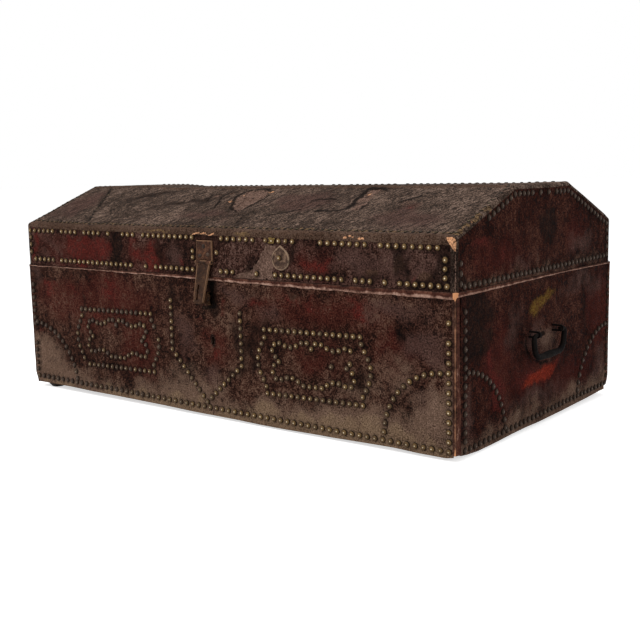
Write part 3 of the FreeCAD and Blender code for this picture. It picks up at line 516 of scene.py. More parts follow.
def finished(name, bm, sharp=50.0):
    mesh = bpy.data.meshes.new(name)
    bm.to_mesh(mesh)
    bm.free()
    for face in mesh.polygons:
        face.use_smooth = True
    mesh.set_sharp_from_angle(angle=math.radians(sharp))
    piece = bpy.data.objects.new(name, mesh)
    bpy.context.scene.collection.objects.link(piece)
    return piece


def dress(piece, material, body, slot, *replaced):
    piece.data.materials.clear()
    piece.data.materials.append(material)
    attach(piece, body)
    if replaced:
        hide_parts(*replaced)


def islands(node):
    """The middle of each loose solid in a CAD node's mesh, in mm."""
    bm = bmesh.new()
    bm.from_mesh(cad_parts[node].data)
    bmesh.ops.remove_doubles(bm, verts=bm.verts, dist=0.01 * MM)
    seen = set()
    middles = []
    for start in bm.verts:
        if start in seen:
            continue
        group, waiting = [], [start]
        seen.add(start)
        while waiting:
            vert = waiting.pop()
            group.append(vert.co.copy())
            for edge in vert.link_edges:
                other = edge.other_vert(vert)
                if other not in seen:
                    seen.add(other)
                    waiting.append(other)
        middles.append(sum(group, Vector()) / len(group) / MM)
    bm.free()
    return middles


def tree_of(places):
    tree = kdtree.KDTree(max(1, len(places)))
    for i, place in enumerate(places):
        tree.insert(place, i)
    tree.balance()
    return tree


def along(start, end, pitch):
    """Places from start to end, about a pitch apart."""
    start, end = Vector(start), Vector(end)
    count = max(1, round((end - start).length / pitch))
    return [start.lerp(end, i / count) for i in range(count + 1)]


def ring_faces(bm, rings):
    """Faces between each ring of vertices and the next."""
    for a, b in zip(rings, rings[1:]):
        for k in range(len(a)):
            n = (k + 1) % len(a)
            bm.faces.new((a[k], a[n], b[n], b[k]))


def close_rings(bm, rings):
    """A solid's faces: those between its rings and one over each end."""
    ring_faces(bm, rings)
    bm.faces.new(rings[0][::-1])
    bm.faces.new(rings[-1])
    bmesh.ops.recalc_face_normals(bm, faces=bm.faces)


def nail_heads(name, places, radius, height, wobble=0.06, sink=STUD_SINK, dull=None):
    """Domed nail heads at (place, normal), no two quite alike; dull(place) is their tarnish."""
    rng = random.Random(SEED + len(places))
    bm = bmesh.new()
    age = bm.verts.layers.float.new("age")
    rim = bm.verts.layers.float.new("rim")
    rings = ((1.0, -sink / height), (1.0, 0.1), (0.88, 0.46), (0.6, 0.8), (0.3, 0.96))
    for place, normal in places:
        normal = Vector(normal)
        tilt = Vector([rng.uniform(-wobble, wobble) for _ in range(3)])
        axis = (normal + tilt).normalized()
        across = axis.orthogonal().normalized()
        other = axis.cross(across)
        r = radius * rng.uniform(1 - wobble, 1 + wobble)
        h = height * rng.uniform(1 - 2 * wobble, 1 + wobble)
        worn = rng.random()
        if dull:
            worn = min(1.0, max(0.0, dull(place) + 0.4 * (worn - 0.5)))
        dent = rng.uniform(0, math.tau)
        rows = []
        for out, up in rings:
            ring = []
            for k in range(STUD_SIDES):
                turn = math.tau * k / STUD_SIDES
                stretch = 1 + wobble * math.cos(2 * (turn - dent))
                flat = across * math.cos(turn) + other * math.sin(turn)
                vert = bm.verts.new((place + flat * (r * out * stretch) + axis * (h * up)) * MM)
                vert[rim] = out if up > 0 else 1.15
                vert[age] = worn
                ring.append(vert)
            rows.append(ring)
        tip = bm.verts.new((place + axis * h) * MM)
        tip[age] = worn
        ring_faces(bm, rows)
        for k in range(STUD_SIDES):
            bm.faces.new((rows[-1][k], rows[-1][(k + 1) % STUD_SIDES], tip))
    return finished(name, bm, sharp=80)


def tube(name, line, sides=14, rough=0.0):
    """A bar along a line of (point, radius), hammered by rough mm but at its thin ends."""
    bm = bmesh.new()
    rows = []
    side = None
    thin = line[0][1]
    for i, (point, radius) in enumerate(line):
        before, after = line[max(i - 1, 0)][0], line[min(i + 1, len(line) - 1)][0]
        run = (after - before).normalized()
        side = run.orthogonal() if side is None else side - run * side.dot(run)
        side.normalize()
        other = run.cross(side)
        ring = []
        for k in range(sides):
            turn = math.tau * k / sides
            out = side * math.cos(turn) + other * math.sin(turn)
            dent = rough * smooth(radius, thin, thin + 1.5)
            dent *= noise.noise((point + out * radius) / 7)
            ring.append(bm.verts.new((point + out * (radius + dent)) * MM))
        rows.append(ring)
    close_rings(bm, rows)
    return finished(name, bm, sharp=60)


def lathe(name, centre, outline, sides=32, rough=0.0):
    """A turned piece from an outline of (radius, height), standing at centre."""
    bm = bmesh.new()
    rows = []
    for radius, height in outline:
        ring = []
        for k in range(sides):
            turn = math.tau * k / sides
            c, s = math.cos(turn), math.sin(turn)
            out = radius + rough * noise.noise(Vector((c * 2, s * 2, height)))
            place = Vector((c * out, s * out, height))
            ring.append(bm.verts.new((centre + place) * MM))
        rows.append(ring)
    close_rings(bm, rows)
    return finished(name, bm, sharp=40)


def rounded(corners, radii, counts, turn_steps=6):
    """(place, outward normal) along a path through 2D corners, rounded; outward is on its left.

    Each stretch has its own count of steps, so that two paths can be matched point by point.
    """
    points = [Vector(c) for c in corners]
    path = []
    start = points[0]
    for i, corner in enumerate(points[1:-1]):
        run_in = (corner - points[i]).normalized()
        run_out = (points[i + 2] - corner).normalized()
        turn = math.atan2(run_in.cross(run_out), run_in.dot(run_out))
        cut = radii[i] * math.tan(abs(turn) / 2)
        path += straight(start, corner - run_in * cut, counts[i])
        first = left_of(run_in)
        side = 1 if turn < 0 else -1
        centre = corner - run_in * cut - first * (radii[i] * side)
        for k in range(1, turn_steps):
            angle = turn * k / turn_steps
            c, s = math.cos(angle), math.sin(angle)
            normal = Vector((first.x * c - first.y * s, first.x * s + first.y * c))
            path.append((centre + normal * (radii[i] * side), normal))
        start = corner + run_out * cut
    return path + straight(start, points[-1], counts[-1])


def left_of(run):
    return Vector((-run.y, run.x))


def straight(start, end, count):
    normal = left_of((end - start).normalized())
    return [(start.lerp(end, i / count), normal) for i in range(count + 1)]


# Leather


def waves(u, v, height=0.45):
    """How far a wall's leather stands out or in, over broad swells and small lumps, in mm."""
    return height * lumps(u, v, 110, 3.1) + 0.5 * height * lumps(u, v, 28, 7.7)


def wear_of(table, tree=None):
    """The wear at a place on a face, from its table of patches and the nails in it."""

    def wear(u, v, place):
        coarse = Vector((lumps(u, v, 40, 1.5), lumps(u, v, 40, 3.5)))
        ragged = Vector((lumps(u, v, 13, 2.5), lumps(u, v, 13, 4.5)))
        soft_place = Vector((u, v)) + 22 * coarse + 11 * ragged
        frayed = Vector((lumps(u, v, 5, 6.5), lumps(u, v, 5, 7.5)))
        crisp_place = Vector((u, v)) + 3 * coarse + 4 * ragged + 2.4 * frayed
        found = {}
        for mark, patches in table.items():
            fade = WEAR[mark][0]
            at = crisp_place if fade <= CRISP_LIMIT else soft_place
            deepest = max(patch(at.x, at.y) for patch in patches)
            found[mark] = min(1.0, max(0.0, 0.5 + deepest / fade))
        found["near"] = tree.find(place)[2] if tree else FAR
        # Grime and painted shade round each nail
        found["grime"] = bell(found["near"], 8.0)
        return found

    return wear


def calm_at(u, v, calm):
    """1 where a fitting lies on the leather, 0 a little away from it."""
    most = 0.0
    for u0, u1, v0, v1 in calm:
        away = max(u0 - u, u - u1, v0 - v, v - v1, 0.0)
        most = max(most, 1 - smooth(away, 1.0, 9.0))
    return most


def wall_relief(calm=()):
    def relief(u, v, wear):
        out = waves(u, v) + 0.12 * lumps(u, v, 9, 5.0)
        torn = max(wear.get("pale", 0.0), wear.get("wood", 0.0))
        out -= TORN_DEPTH * smooth(torn, 0.45, 0.62)
        out += 0.5 * bell(torn - 0.36, 0.1)
        out -= PUCKER_DEPTH * bell(wear["near"], PUCKER_REACH)
        out -= CRACK_DEPTH * smooth(wear.get("crack", 0.0), 0.3, 0.8)
        hold = calm_at(u, v, calm)
        return out * (1 - hold) - 0.15 * hold

    return relief


def facing(axis, at, sign, hem=None):
    """An upright wall: (u, v) is (x, z) on a front or back, (y, z) on an end."""

    def surface(u, v):
        z = v
        if hem:
            z += (read_off(hem, u) - BODY_Z) * (1 - smooth(v, BODY_Z, BODY_Z + 28))
        if axis == "y":
            return settled(Vector((u, at, z))), Vector((0, sign, 0))
        return settled(Vector((at, u, z))), Vector((sign, 0, 0))

    return surface


def settled(place):
    """The place after the trunk gave a little, at its front's left and its right end's back."""
    if place.z > WALL_TOP + 4:
        return place + sprung(place.x, place.y).x * Vector((1, 0, 0))
    left = smooth(-place.x, 380, 500) * smooth(-place.y, -120, 240) * smooth(place.z, 10, 34)
    right = smooth(place.x, 380, 500) * smooth(place.y, 60, 277) * smooth(place.z, 8, 40)
    return place + Vector((3.6 * right - 6.4 * left, 2.0 * right, 0))


def sprung(x, y):
    """How far the lid has warped: up at its left half and its right back, and out at both ends."""
    corner = 3.2 * smooth(-x, 410, 500) * smooth(-y, 190, 270)
    roof = (4.4 * smooth(-x - 0.45 * (y + RIDGE_Y), 250, 345) * smooth(y, -272, -170)
            * (1 - smooth(y, 120, 270)))
    back = 1.7 * smooth(x, 400, 490) * smooth(y, 30, 110) * (1 - smooth(y, 250, 277))
    out = 0.8 * smooth(x, 440, 500) * smooth(y, 60, 277) - 3.2 * smooth(-x, 440, 500)
    return Vector((out, 0, corner + roof + back))


def nail_tree(node):
    return tree_of(islands(node))


def make_wall(name, surface, us, vs, table, material, body, node, studs, calm=(), keep=None):
    piece = leather(
        name, us, vs, surface, wall_relief(calm), wear_of(table, nail_tree(studs)), keep=keep
    )
    dress(piece, material, body, "lid_hide" if body == "lid" else "body_hide", node)


def in_front_leather(x, z):
    return not any(x0 < x < x1 and z0 < z < z1 for x0, x1, z0, z1 in (LUG_MOUTH, KEYHOLE))


def make_body_leather(front_look, end_look):
    side = RIGHT - CORNER_FRONT_LEG + 0.5
    end = BACK - CORNER_END_LEG + 0.5
    zs = steps(BODY_Z, WALL_TOP - 1, CELL, (*LUG_MOUTH[2:], *KEYHOLE[2:]))
    xs = steps(-side, side, CELL, (*LUG_MOUTH[:2], *KEYHOLE[:2]))
    coarse_z = steps(BODY_Z, WALL_TOP - 1, BACK_CELL)
    make_wall(
        "front_leather", facing("y", FRONT, -1, FRONT_HEM), xs, zs, BODY_FRONT, front_look, "body",
        "front_hide", "body_front_studs", calm=HASP_REST, keep=in_front_leather,
    )
    make_wall(
        "back_leather", facing("y", BACK, 1), steps(-side, side, BACK_CELL), coarse_z,
        HIDDEN_SIDE, front_look, "body", "back_hide", "body_back_studs", calm=STRAPS,
    )
    make_wall(
        "right_end_leather", facing("x", RIGHT, 1, END_HEM), steps(-end, end, CELL),
        steps(BODY_Z, WALL_TOP - 1, CELL), BODY_END, end_look, "body", "right_end_hide",
        "right_end_studs", calm=STAPLES,
    )
    make_wall(
        "left_end_leather", facing("x", LEFT, -1), steps(-end, end, BACK_CELL), coarse_z,
        LEFT_END, end_look, "body", "left_end_hide", "left_end_studs", calm=STAPLES,
    )


def edge_profile(leg_a, leg_b, radius):
    """An angle's section: (in from one face, in from the other) and its normal, at each step."""
    profile = [((leg_a, 0.0), (0.0, 1.0)), (((leg_a + radius) / 2, 0.0), (0.0, 1.0))]
    for k in range(7):
        turn = math.radians(90 * k / 6)
        place = (radius - radius * math.sin(turn), radius - radius * math.cos(turn))
        profile.append((place, (math.sin(turn), math.cos(turn))))
    return profile + [((0.0, (leg_b + radius) / 2), (1.0, 0.0)), ((0.0, leg_b), (1.0, 0.0))]


def make_corner_strips(material):
    """Folded strips up the body's four corners, their broad raw side on the ends."""
    profile = edge_profile(CORNER_FRONT_LEG, CORNER_END_LEG, CORNER_RADIUS)
    last = len(profile) - 1
    parts = []
    for sx, sy in ((1, -1), (-1, -1), (-1, 1), (1, 1)):
        hem = END_HEM[0][1] if sy < 0 else END_HEM[-1][1]
        bottom = hem if sx > 0 else BODY_Z

        def surface(u, v):
            (a, b), (na, nb) = profile[v]
            if v == last:
                b -= 4.6 * smooth(u, 20, 230) - 1.2 * lumps(u, 40 * sx + 9 * sy, 14)
            place = Vector((sx * (RIGHT - a), sy * (BACK - b), u))
            return settled(place), Vector((sx * na, sy * nb, 0))

        def relief(u, v, wear):
            thin = 0.35 if v in (0, last) else 1.0
            return STRIP_RISE * thin + 0.35 * lumps(u, v * 3, 30, sx + sy)

        def wear(u, v, place):
            bare = (0.42 + 0.16 * lumps(u, 7 * sx, 26, sy)) * bell(v - 4.5, 1.6)
            if sx > 0 > sy:
                bare += 0.5 * smooth(u, 238, 246) * bell(v - 5, 2.5)
                bare += 0.2 * (1 - smooth(u, 12, 18)) * bell(v - 4, 2)
            line = bell(v - 4.6, 1.3) * (0.72 + 0.3 * lumps(u, 3 * sx, 18, sy))
            return {"near": FAR, "lip": smooth(v, 4, 7) * 0.55, "wood": bare, "pale": line}

        parts.append(leather(
            "corner_strip", steps(bottom, WALL_TOP - 1, 4), range(last + 1), surface, relief,
            wear, thick=1.5,
        ))
    piece = joined("corner_leather", parts)
    dress(piece, material, "body", "edge_leather", "corner_strips")


def plain_wear(u, v, place):
    return {"near": FAR}


def joined(name, parts):
    """One piece from several."""
    bm = bmesh.new()
    for part in parts:
        bm.from_mesh(part.data)
        mesh = part.data
        bpy.data.objects.remove(part)
        bpy.data.meshes.remove(mesh)
    return finished(name, bm)


def make_rim(material):
    """The leather over the walls' tops, its ragged lip turned down over the front and ends."""
    outer_corners = [
        (0, BACK), (RIGHT, BACK), (RIGHT, FRONT), (LEFT, FRONT), (LEFT, BACK), (0, BACK),
    ]
    wall = HIDE + BOARD
    inner_corners = [
        (0, BACK - wall), (RIGHT - wall, BACK - wall), (RIGHT - wall, FRONT + wall),
        (LEFT + wall, FRONT + wall), (LEFT + wall, BACK - wall), (0, BACK - wall),
    ]
    counts = [60, 110, 250, 110, 60]
    outer = rounded(outer_corners, [EDGE_RADIUS] * 4, counts, 4)
    inner = rounded(inner_corners, [RIM_INNER_RADIUS] * 4, counts, 4)
    last = 7

    def surface(u, v):
        (place, normal), (inside, _) = outer[u], inner[u]
        settle = settled(Vector((place.x, place.y, WALL_TOP)))
        behind = smooth(normal.y, 0.2, 0.8)
        low = lip_low(place, normal) * (1 - behind) + (RIM_Z - 2.5) * behind
        proud = (0.6 + 1.1 * smooth(abs(place.x), 22, 34)) * (1 - behind)
        if normal.y > -0.5:
            proud = 1.7 * (1 - behind)
        rows = (
            (None, RIM_Z, (0, 1)), (-3.0, RIM_Z, (0, 1)), (proud * 0.6, RIM_Z - 0.1, (0.7, 0.7)),
            (proud, RIM_Z - 1.0, (1, 0)), (proud, RIM_Z * 0.5 + low * 0.5, (1, 0)),
            (proud * 1.1, low + 1.6, (1, 0)), (proud * 0.9, low + 0.4, (0.9, -0.4)),
            (0.0, low, (1, 0)),
        )
        out, z, (flat, up) = rows[v]
        at = inside if out is None else Vector((settle.x, settle.y)) + normal * out
        return Vector((at.x, at.y, z)), Vector((normal.x * flat, normal.y * flat, up))

    def wear(u, v, place):
        bare = bell(math.hypot(place.x - RIGHT, place.y - FRONT), 5.5) * smooth(v, 1, 3)
        # lip runs from 0 under the lid to 1 at the hem; the tones it brings are partly painted shade and
        # a painted highlight
        return {"near": FAR, "lip": v / last, "wood": bare}

    def relief(u, v, found):
        place, normal = outer[u]
        if v < 3 or normal.y > 0.5:
            return 0.0
        return 0.25 * lumps(place.x + place.y, v * 4, 16) * smooth(abs(place.x), 22, 34)

    piece = leather(
        "rim_leather", range(len(outer)), range(last + 1), surface, relief, wear,
        thick=1.4, closed=True,
    )
    dress(piece, material, "body", "edge_leather", "rim_strips")


def lip_low(place, normal):
    """How low the rim's lip hangs: narrow at the left of the front and the back of the end."""
    if normal.y < -0.5:
        fall = 2.8 + 7.6 * smooth(place.x, -420, 420)
        ragged = 1.5 * lumps(place.x, 0, 34, 2) + 1.0 * lumps(place.x, 0, 11, 4)
        return RIM_Z - fall + ragged
    fall = 3.2 + 4.4 * smooth(-place.y, -120, 260)
    return RIM_Z - fall + 0.7 * lumps(place.y, place.x, 26, 6)


# Lid

ROOF_CORNERS = [
    (FRONT, HEM_Z), (FRONT, FOLD_Z), (-RIDGE_Y, TOP_Z), (RIDGE_Y, TOP_Z), (BACK, FOLD_Z),
    (BACK, HEM_Z),
]
END_CORNERS = [(FRONT, LID_Z)] + ROOF_CORNERS[1:-1] + [(BACK, LID_Z)]
ROOF_RADII = [FOLD_RADIUS, RIDGE_RADIUS, RIDGE_RADIUS, FOLD_RADIUS]


def up_slope(y, z):
    """Distance up the front slope from its fold, going on over the top; negative below the fold."""
    if z < FOLD_Z - 1 and y < 0:
        return z - FOLD_Z
    if y < -RIDGE_Y:
        return (y - FRONT) * math.cos(SLOPE) + (z - FOLD_Z) * math.sin(SLOPE)
    return SLOPE_LENGTH + y + RIDGE_Y


def wrinkles(x, s):
    """Ridged creases that run steeply up the slope, leaning to the right."""
    run = math.radians(66 + 16 * lumps(x, s, 190, 9))
    across = s * math.cos(run) - x * math.sin(run)
    length = x * math.cos(run) + s * math.sin(run)
    across += 5 * lumps(x, s, 42, 8)
    crease = 1 - abs(2 * lumps(across / 15, length / 95, 1.0, 11))
    strength = 0.25 + 0.75 * bell(x - 60, 230) * smooth(s, 5, 40)
    return 0.95 * strength * max(0.0, crease) ** 3


def hem_z(x):
    """How low the roof's leather comes down over the front: its hem tilts with the nails."""
    return 327.4 - 6.4 * (x + 490) / 960 + 0.8 * lumps(x, 0, 30, 15) + 0.5 * lumps(x, 0, 9, 16)


def bare_wedge(place):
    if place.y > FRONT + 2:
        return 0.0
    return min(1.0, max(0.0, 0.5 + WEDGE(place.x, place.z) / 3))


def make_lid_skin(material):
    hem_rows = 4
    path = rounded(ROOF_CORNERS, ROOF_RADII, [hem_rows, 64, 34, 34, 2])
    xs = steps(LEFT + LID_INSET, FINE_FROM, CELL + 0.4)[:-1]
    xs += steps(FINE_FROM, RIGHT - LID_INSET, FINE_CELL)
    marks = wear_of(LID_SLOPE, tree_of([place for place, _ in tack_places()]))

    def surface(u, v):
        place, normal = path[v]
        z = place.y
        if v < hem_rows:
            z += (hem_z(u) - HEM_Z) * (1 - v / hem_rows)
        return Vector((u, place.x, z)) + sprung(u, place.x), Vector((0, normal.x, normal.y))

    def wear(u, v, place):
        s = up_slope(place.y, place.z)
        found = marks(u, s, place) if place.y < -60 else plain_wear(u, s, place)
        found["wood"] = max(found.get("wood", 0.0), bare_wedge(place))
        # Grime and painted shade in the pocket round each tack
        found["grime"] = 1.2 * bell(found["near"], 4.2)
        return found

    def relief(u, v, found):
        place = path[v][0]
        s = up_slope(place.x, place.y)
        out = 0.7 + waves(u, s, 0.6) + wrinkles(u, s) * smooth(s, 0, 20)
        torn = max(found.get("pale", 0.0), found.get("wood", 0.0))
        out -= 1.3 * smooth(torn, 0.45, 0.62) * smooth(s, 8, 20)
        out += 0.5 * bell(torn - 0.36, 0.1) * smooth(s, 8, 20)
        out -= 0.7 * bell(found.get("dark", 0.0) - 1, 0.5) * smooth(s, 20, 40)
        out -= 0.7 * bell(found["near"], 4.5)
        if s < -2:
            out = 0.5 + 0.35 * lumps(u, s, 20, 12)
        if place.x > 0:
            out = 0.4 + 0.4 * waves(u, s)
        return min(out, 1.9)

    piece = leather(
        "lid_skin", xs, range(len(path)), surface, relief, wear, thick=1.6
    )
    dress(piece, material, "lid", "lid_hide", "lid_top_hide")


def make_lid_walls(material, end_material):
    zs = steps(LID_Z, HEM_Z + 6, CELL)
    side = RIGHT - LID_INSET
    make_wall(
        "lid_front_leather", facing("y", FRONT, -1), steps(-side, side, CELL), zs, LID_FRONT,
        material, "lid", "lid_front_hide", "lid_front_studs", calm=LID_FITTINGS,
    )
    make_wall(
        "lid_back_leather", facing("y", BACK, 1), steps(-side, side, BACK_CELL),
        steps(LID_Z, HEM_Z + 8, BACK_CELL), HIDDEN_SIDE, material, "lid", "lid_back_hide",
        "lid_back_studs", calm=STRAPS,
    )
    make_lid_end("lid_right_end", 1, end_material, CELL)
    make_lid_end("lid_left_end", -1, end_material, BACK_CELL)


def roof_z(y):
    """Height of the lid's section at y."""
    if abs(y) <= RIDGE_Y:
        return TOP_Z
    return FOLD_Z + (BACK - abs(y)) * math.tan(SLOPE)


def make_lid_end(name, sign, material, cell):
    """A lid end's leather, its rows following the lid's section."""
    ys = steps(FRONT + END_INSET, BACK - END_INSET, cell, (-RIDGE_Y, RIDGE_Y))
    rows = round((TOP_Z - LID_Z) / cell)
    tree = nail_tree(f"{name}_studs")
    marks = wear_of(LID_END, tree)
    flat = wall_relief()

    def surface(u, v):
        give = sprung(sign * RIGHT, u)
        high = roof_z(u) - END_INSET + give.z
        z = LID_Z + (high - LID_Z) * min(1.0, v / rows)
        return Vector((sign * RIGHT + give.x, u, z)), Vector((sign, 0, 0))

    def wear(u, v, place):
        return marks(u, place.z, place)

    def relief(u, v, found):
        return flat(u, surface(u, v)[0].z, found)

    piece = leather(f"{name}_leather", ys, range(rows + 1), surface, relief, wear)
    dress(piece, material, "lid", "lid_hide", f"{name}_hide")


def make_lid_edges(material):
    """Folded strips along both ends of the lid, up its front, over its roof and down its back."""
    path = rounded(END_CORNERS, ROOF_RADII, [20, 48, 50, 48, 20])
    profile = edge_profile(EDGE_ROOF_LEG, EDGE_LEG, EDGE_RADIUS)
    marks = wear_of(LID_EDGE)
    for name, sign in (("lid_right_edge", 1), ("lid_left_edge", -1)):

        def surface(u, v):
            place, normal = path[u]
            (b, a), (nb, na) = profile[v]
            at = place - normal * b
            out = Vector((sign * na, normal.x * nb, normal.y * nb))
            give = sprung(sign * RIGHT, at.x)
            give.z *= smooth(at.y, 300, 330)
            return Vector((sign * (RIGHT - a), at.x, at.y)) + give, out

        def wear(u, v, place):
            found = marks(place.y, place.z, place)
            worn = 1.0 if sign > 0 else 0.0
            found["olive"] *= worn
            found["wood"] = max(found["wood"] * worn, bare_wedge(place))
            upright = worn * smooth(-place.y, -FRONT - 4, -FRONT - 1)
            upright *= 1 - smooth(place.z, 306, 314)
            found["pale"] = upright * bell(v - 4.5, 1.4) * (1.15 + 0.3 * lumps(place.z, 0, 12))
            return found

        def relief(u, v, wear):
            place = path[u][0]
            thin = 0.4 if v in (0, len(profile) - 1) else 1.0
            return 0.9 * thin + 0.35 * lumps(place.x + place.y, v * 3, 24, sign)

        piece = leather(
            name, range(len(path)), range(len(profile)), surface, relief, wear,
            thick=2.0,
        )
        dress(piece, material, "lid", "lid_hide")


# Nails


def dullness(node, u, z):
    """How far a nail has tarnished, from 0 to 1, at u along its wall; the more tarnish, the smaller and
    dimmer its painted highlight.
    """
    if "end" in node or "back" in node:
        return 1.0
    if node == "lid_front_studs":
        return 0.15 + 0.2 * smooth(-u, 200, 480)
    if z < 26:
        return 0.3 + 0.55 * smooth(-u, -100, 250)
    if u < -372 and z < 150 or u < -470:
        return 1.0
    if u > 465:
        return 0.25
    return 0.45 + 0.25 * smooth(-u, 0, 250)


def make_studs(brass, iron):
    faces = {
        "body_front_studs": ("body", (0, -1, 0)), "right_end_studs": ("body", (1, 0, 0)),
        "left_end_studs": ("body", (-1, 0, 0)), "body_back_studs": ("body", (0, 1, 0)),
        "lid_front_studs": ("lid", (0, -1, 0)), "lid_right_end_studs": ("lid", (1, 0, 0)),
        "lid_left_end_studs": ("lid", (-1, 0, 0)), "lid_back_studs": ("lid", (0, 1, 0)),
    }
    for node, (body, normal) in faces.items():
        out = Vector(normal)
        on_front = abs(out.y) > 0.5
        places = []
        for middle in islands(node):
            u = middle.x if on_front else middle.y
            base = Vector(middle)
            if on_front:
                base.y = FRONT if out.y < 0 else BACK
            else:
                base.x = RIGHT if out.x > 0 else LEFT
            places.append((settled(base) + out * (waves(u, base.z) - 0.25), out))

        def dull(place):
            return dullness(node, place.x if on_front else place.y, place.z)

        name = node.replace("studs", "nails")
        piece = nail_heads(name, places, STUD_RADIUS, STUD_HEIGHT, dull=dull)
        dress(piece, brass, body, "brass", node)
    for node, body, normal, face in (
        ("hinge_body_nails", "body", (0, 1, 0), BACK + 3.0),
        ("hinge_lid_nails", "lid", (0, 1, 0), BACK + 3.0),
        ("hasp_nails", "lid", (0, -1, 0), FRONT - 3.0),
    ):
        places = [(Vector((m.x, face, m.z)), normal) for m in islands(node)]
        piece = nail_heads(node.replace("_nails", "_rivets"), places, 4.0, 2.0, 0.1, sink=0.4)
        dress(piece, iron, body, "iron", node)


def tack_places():
    """(place, normal) of each small tack in the lid's skin: by the fold, a crease and the edges."""
    slope_normal = Vector((0, -math.sin(SLOPE), math.cos(SLOPE)))
    spots = []
    for x in steps(LEFT + 18, RIGHT - 14, TACK_PITCH):
        s = 13 + 5 * smooth(-x, 60, 460) + 1.5 * lumps(x, 0, 40, 5)
        spots.append((x, s, 0.8 + waves(x, s, 0.6)))
    for (x0, s0), (x1, s1) in zip(CREASE, CREASE[1:]):
        spots += [(place.x, place.y, 0.6) for place in along((x0, s0, 0), (x1, s1, 0), 15)[:-1]]
    for sign in (-1, 1):
        spots += [(sign * (RIGHT - 7.5), s, 1.0) for s in steps(14, SLOPE_LENGTH - 6, 13.5)]
    return [(on_slope(*highlight_spot), slope_normal) for highlight_spot in spots]


def make_tacks(material):
    """Small tacks and dull nails that hold the lid's skin."""
    piece = nail_heads("lid_tacks", tack_places(), TACK_RADIUS, TACK_HEIGHT, 0.14, sink=0.8)
    dress(piece, material, "lid", "old_brass")
    ridge = []
    for y in (-RIDGE_Y + 6, RIDGE_Y - 6):
        for x in steps(LEFT + 12, RIGHT - 12, STUD_PITCH):
            if lumps(x, y, 5, 1) > -0.42:
                ridge.append((Vector((x, y, TOP_Z + 0.6)) + sprung(x, y), Vector((0, 0, 1))))
    piece = nail_heads("ridge_nails", ridge, RIDGE_NAIL_RADIUS, RIDGE_NAIL_HEIGHT, 0.12)
    dress(piece, material, "lid", "old_brass")


def on_slope(x, s, out):
    """A place on the front slope, s up from the fold and out from its surface."""
    y = FRONT + s * math.cos(SLOPE) - out * math.sin(SLOPE)
    z = FOLD_Z + s * math.sin(SLOPE) + out * math.cos(SLOPE)
    return Vector((x, y, z)) + sprung(x, y)


# Fittings


def on_bend(centre, radius, degrees):
    """A place (y, z) on a bend about its centre."""
    turn = math.radians(degrees)
    return centre[0] + radius * math.cos(turn), centre[1] + radius * math.sin(turn)


def bail_line(sign):
    """Centre line and radius of a bail that hangs at rest in its staples."""
    top = (BAIL_TOP_BEND - BAIL_HALF_WIDTH, -BAIL_TOP_BEND)
    low = (BAIL_LOW_BEND + BAIL_LEAN - BAIL_HALF_WIDTH, BAIL_LOW_BEND - BAIL_DROP)
    line = [(y, 0.0, BAIL_PIN) for y in (-BAIL_PIN_Y, top[0])]
    for k in range(1, 9):
        radius = BAIL_PIN + (BAIL_BAR - BAIL_PIN) * smooth(k, 0, 8)
        line.append((*on_bend(top, BAIL_TOP_BEND, 90 + 90 * k / 8), radius))
    for k in range(13):
        radius = BAIL_BAR + (BAIL_LOW_BAR - BAIL_BAR) * smooth(k, 6, 12)
        line.append((*on_bend(low, BAIL_LOW_BEND, 180 + 80 * k / 12), radius))
    for k in range(1, 7):
        radius = BAIL_LOW_BAR + (BAIL_GRIP - BAIL_LOW_BAR) * smooth(k, 0, 6)
        line.append((-BAIL_GRIP_Y * (1 - k / 6), -BAIL_DROP, radius))
    line += [(-y, z, r) for y, z, r in reversed(line[:-1])]
    return [(Vector((sign * (RIGHT + BAIL_X), y, PIVOT_Z + z)), r) for y, z, r in line]


def make_handles(iron):
    for name, sign in (("right", 1), ("left", -1)):
        piece = tube(f"{name}_bail", bail_line(sign), rough=0.35)
        dress(piece, iron, f"{name}_handle", "iron", f"{name}_handle")


def make_feet(wood):
    outline = (
        (11.4, 0.0), (12.4, 0.5), (14.6, 3.2), (17.3, 6.0), (18.0, 7.4), (17.9, 9.2), (17.2, 10.0),
    )
    for node in FOOT_NODES:
        low, high = box_mm(node)
        centre = Vector(((low.x + high.x) / 2, (low.y + high.y) / 2, 0))
        piece = lathe(node.replace("foot", "glide"), centre, outline, rough=0.25)
        dress(piece, wood, "body", "dark_wood", node)


def make_drop_plate(brass, stud_brass):
    """The pear-shaped plate, dished inside a raised rim, with its nail."""
    shoulder = math.asin(DROP_RADIUS / DROP_POINT)
    turns = [math.pi - shoulder + (math.pi + 2 * shoulder) * k / 40 for k in range(41)]
    outline = [(DROP_RADIUS * math.cos(turn), DROP_RADIUS * math.sin(turn)) for turn in turns]
    first, last = outline[0], outline[-1]
    ways = [k / 6 for k in range(1, 6)]
    outline += [(last[0] * (1 - t), last[1] * (1 - t) + DROP_POINT * t) for t in ways]
    outline.append((0.0, DROP_POINT))
    outline += [(first[0] * t, first[1] * t + DROP_POINT * (1 - t)) for t in ways]
    rings = (
        (1.0, 0.0), (1.0, 1.0), (0.96, 1.7), (0.9, 2.0), (0.84, 1.7), (0.79, 1.25), (0.5, 1.3),
        (0.25, 1.5),
    )
    bm = bmesh.new()
    edge = bm.verts.layers.float.new("edge")
    rows = []
    for scale, high in rings:
        row = []
        for x, z in outline:
            dent = 0.25 * lumps(x * scale, z * scale, 9, 2) if high > 0 else 0.0
            place = Vector((DROP_X + x * scale, FRONT - high - dent, DROP_Z + z * scale))
            vert = bm.verts.new(place * MM)
            vert[edge] = smooth(scale, 0.8, 0.88)
            row.append(vert)
        rows.append(row)
    close_rings(bm, rows)
    dress(finished("drop_shape", bm, 40), brass, "lid", "old_brass", "drop_plate")
    place = Vector((DROP_X - 2, FRONT - 1.6, DROP_Z + 2))
    piece = nail_heads("drop_shape_nail", [(place, (0, -1, 0))], STUD_RADIUS, STUD_HEIGHT)
    dress(piece, stud_brass, "lid", "brass", "drop_plate_nail")


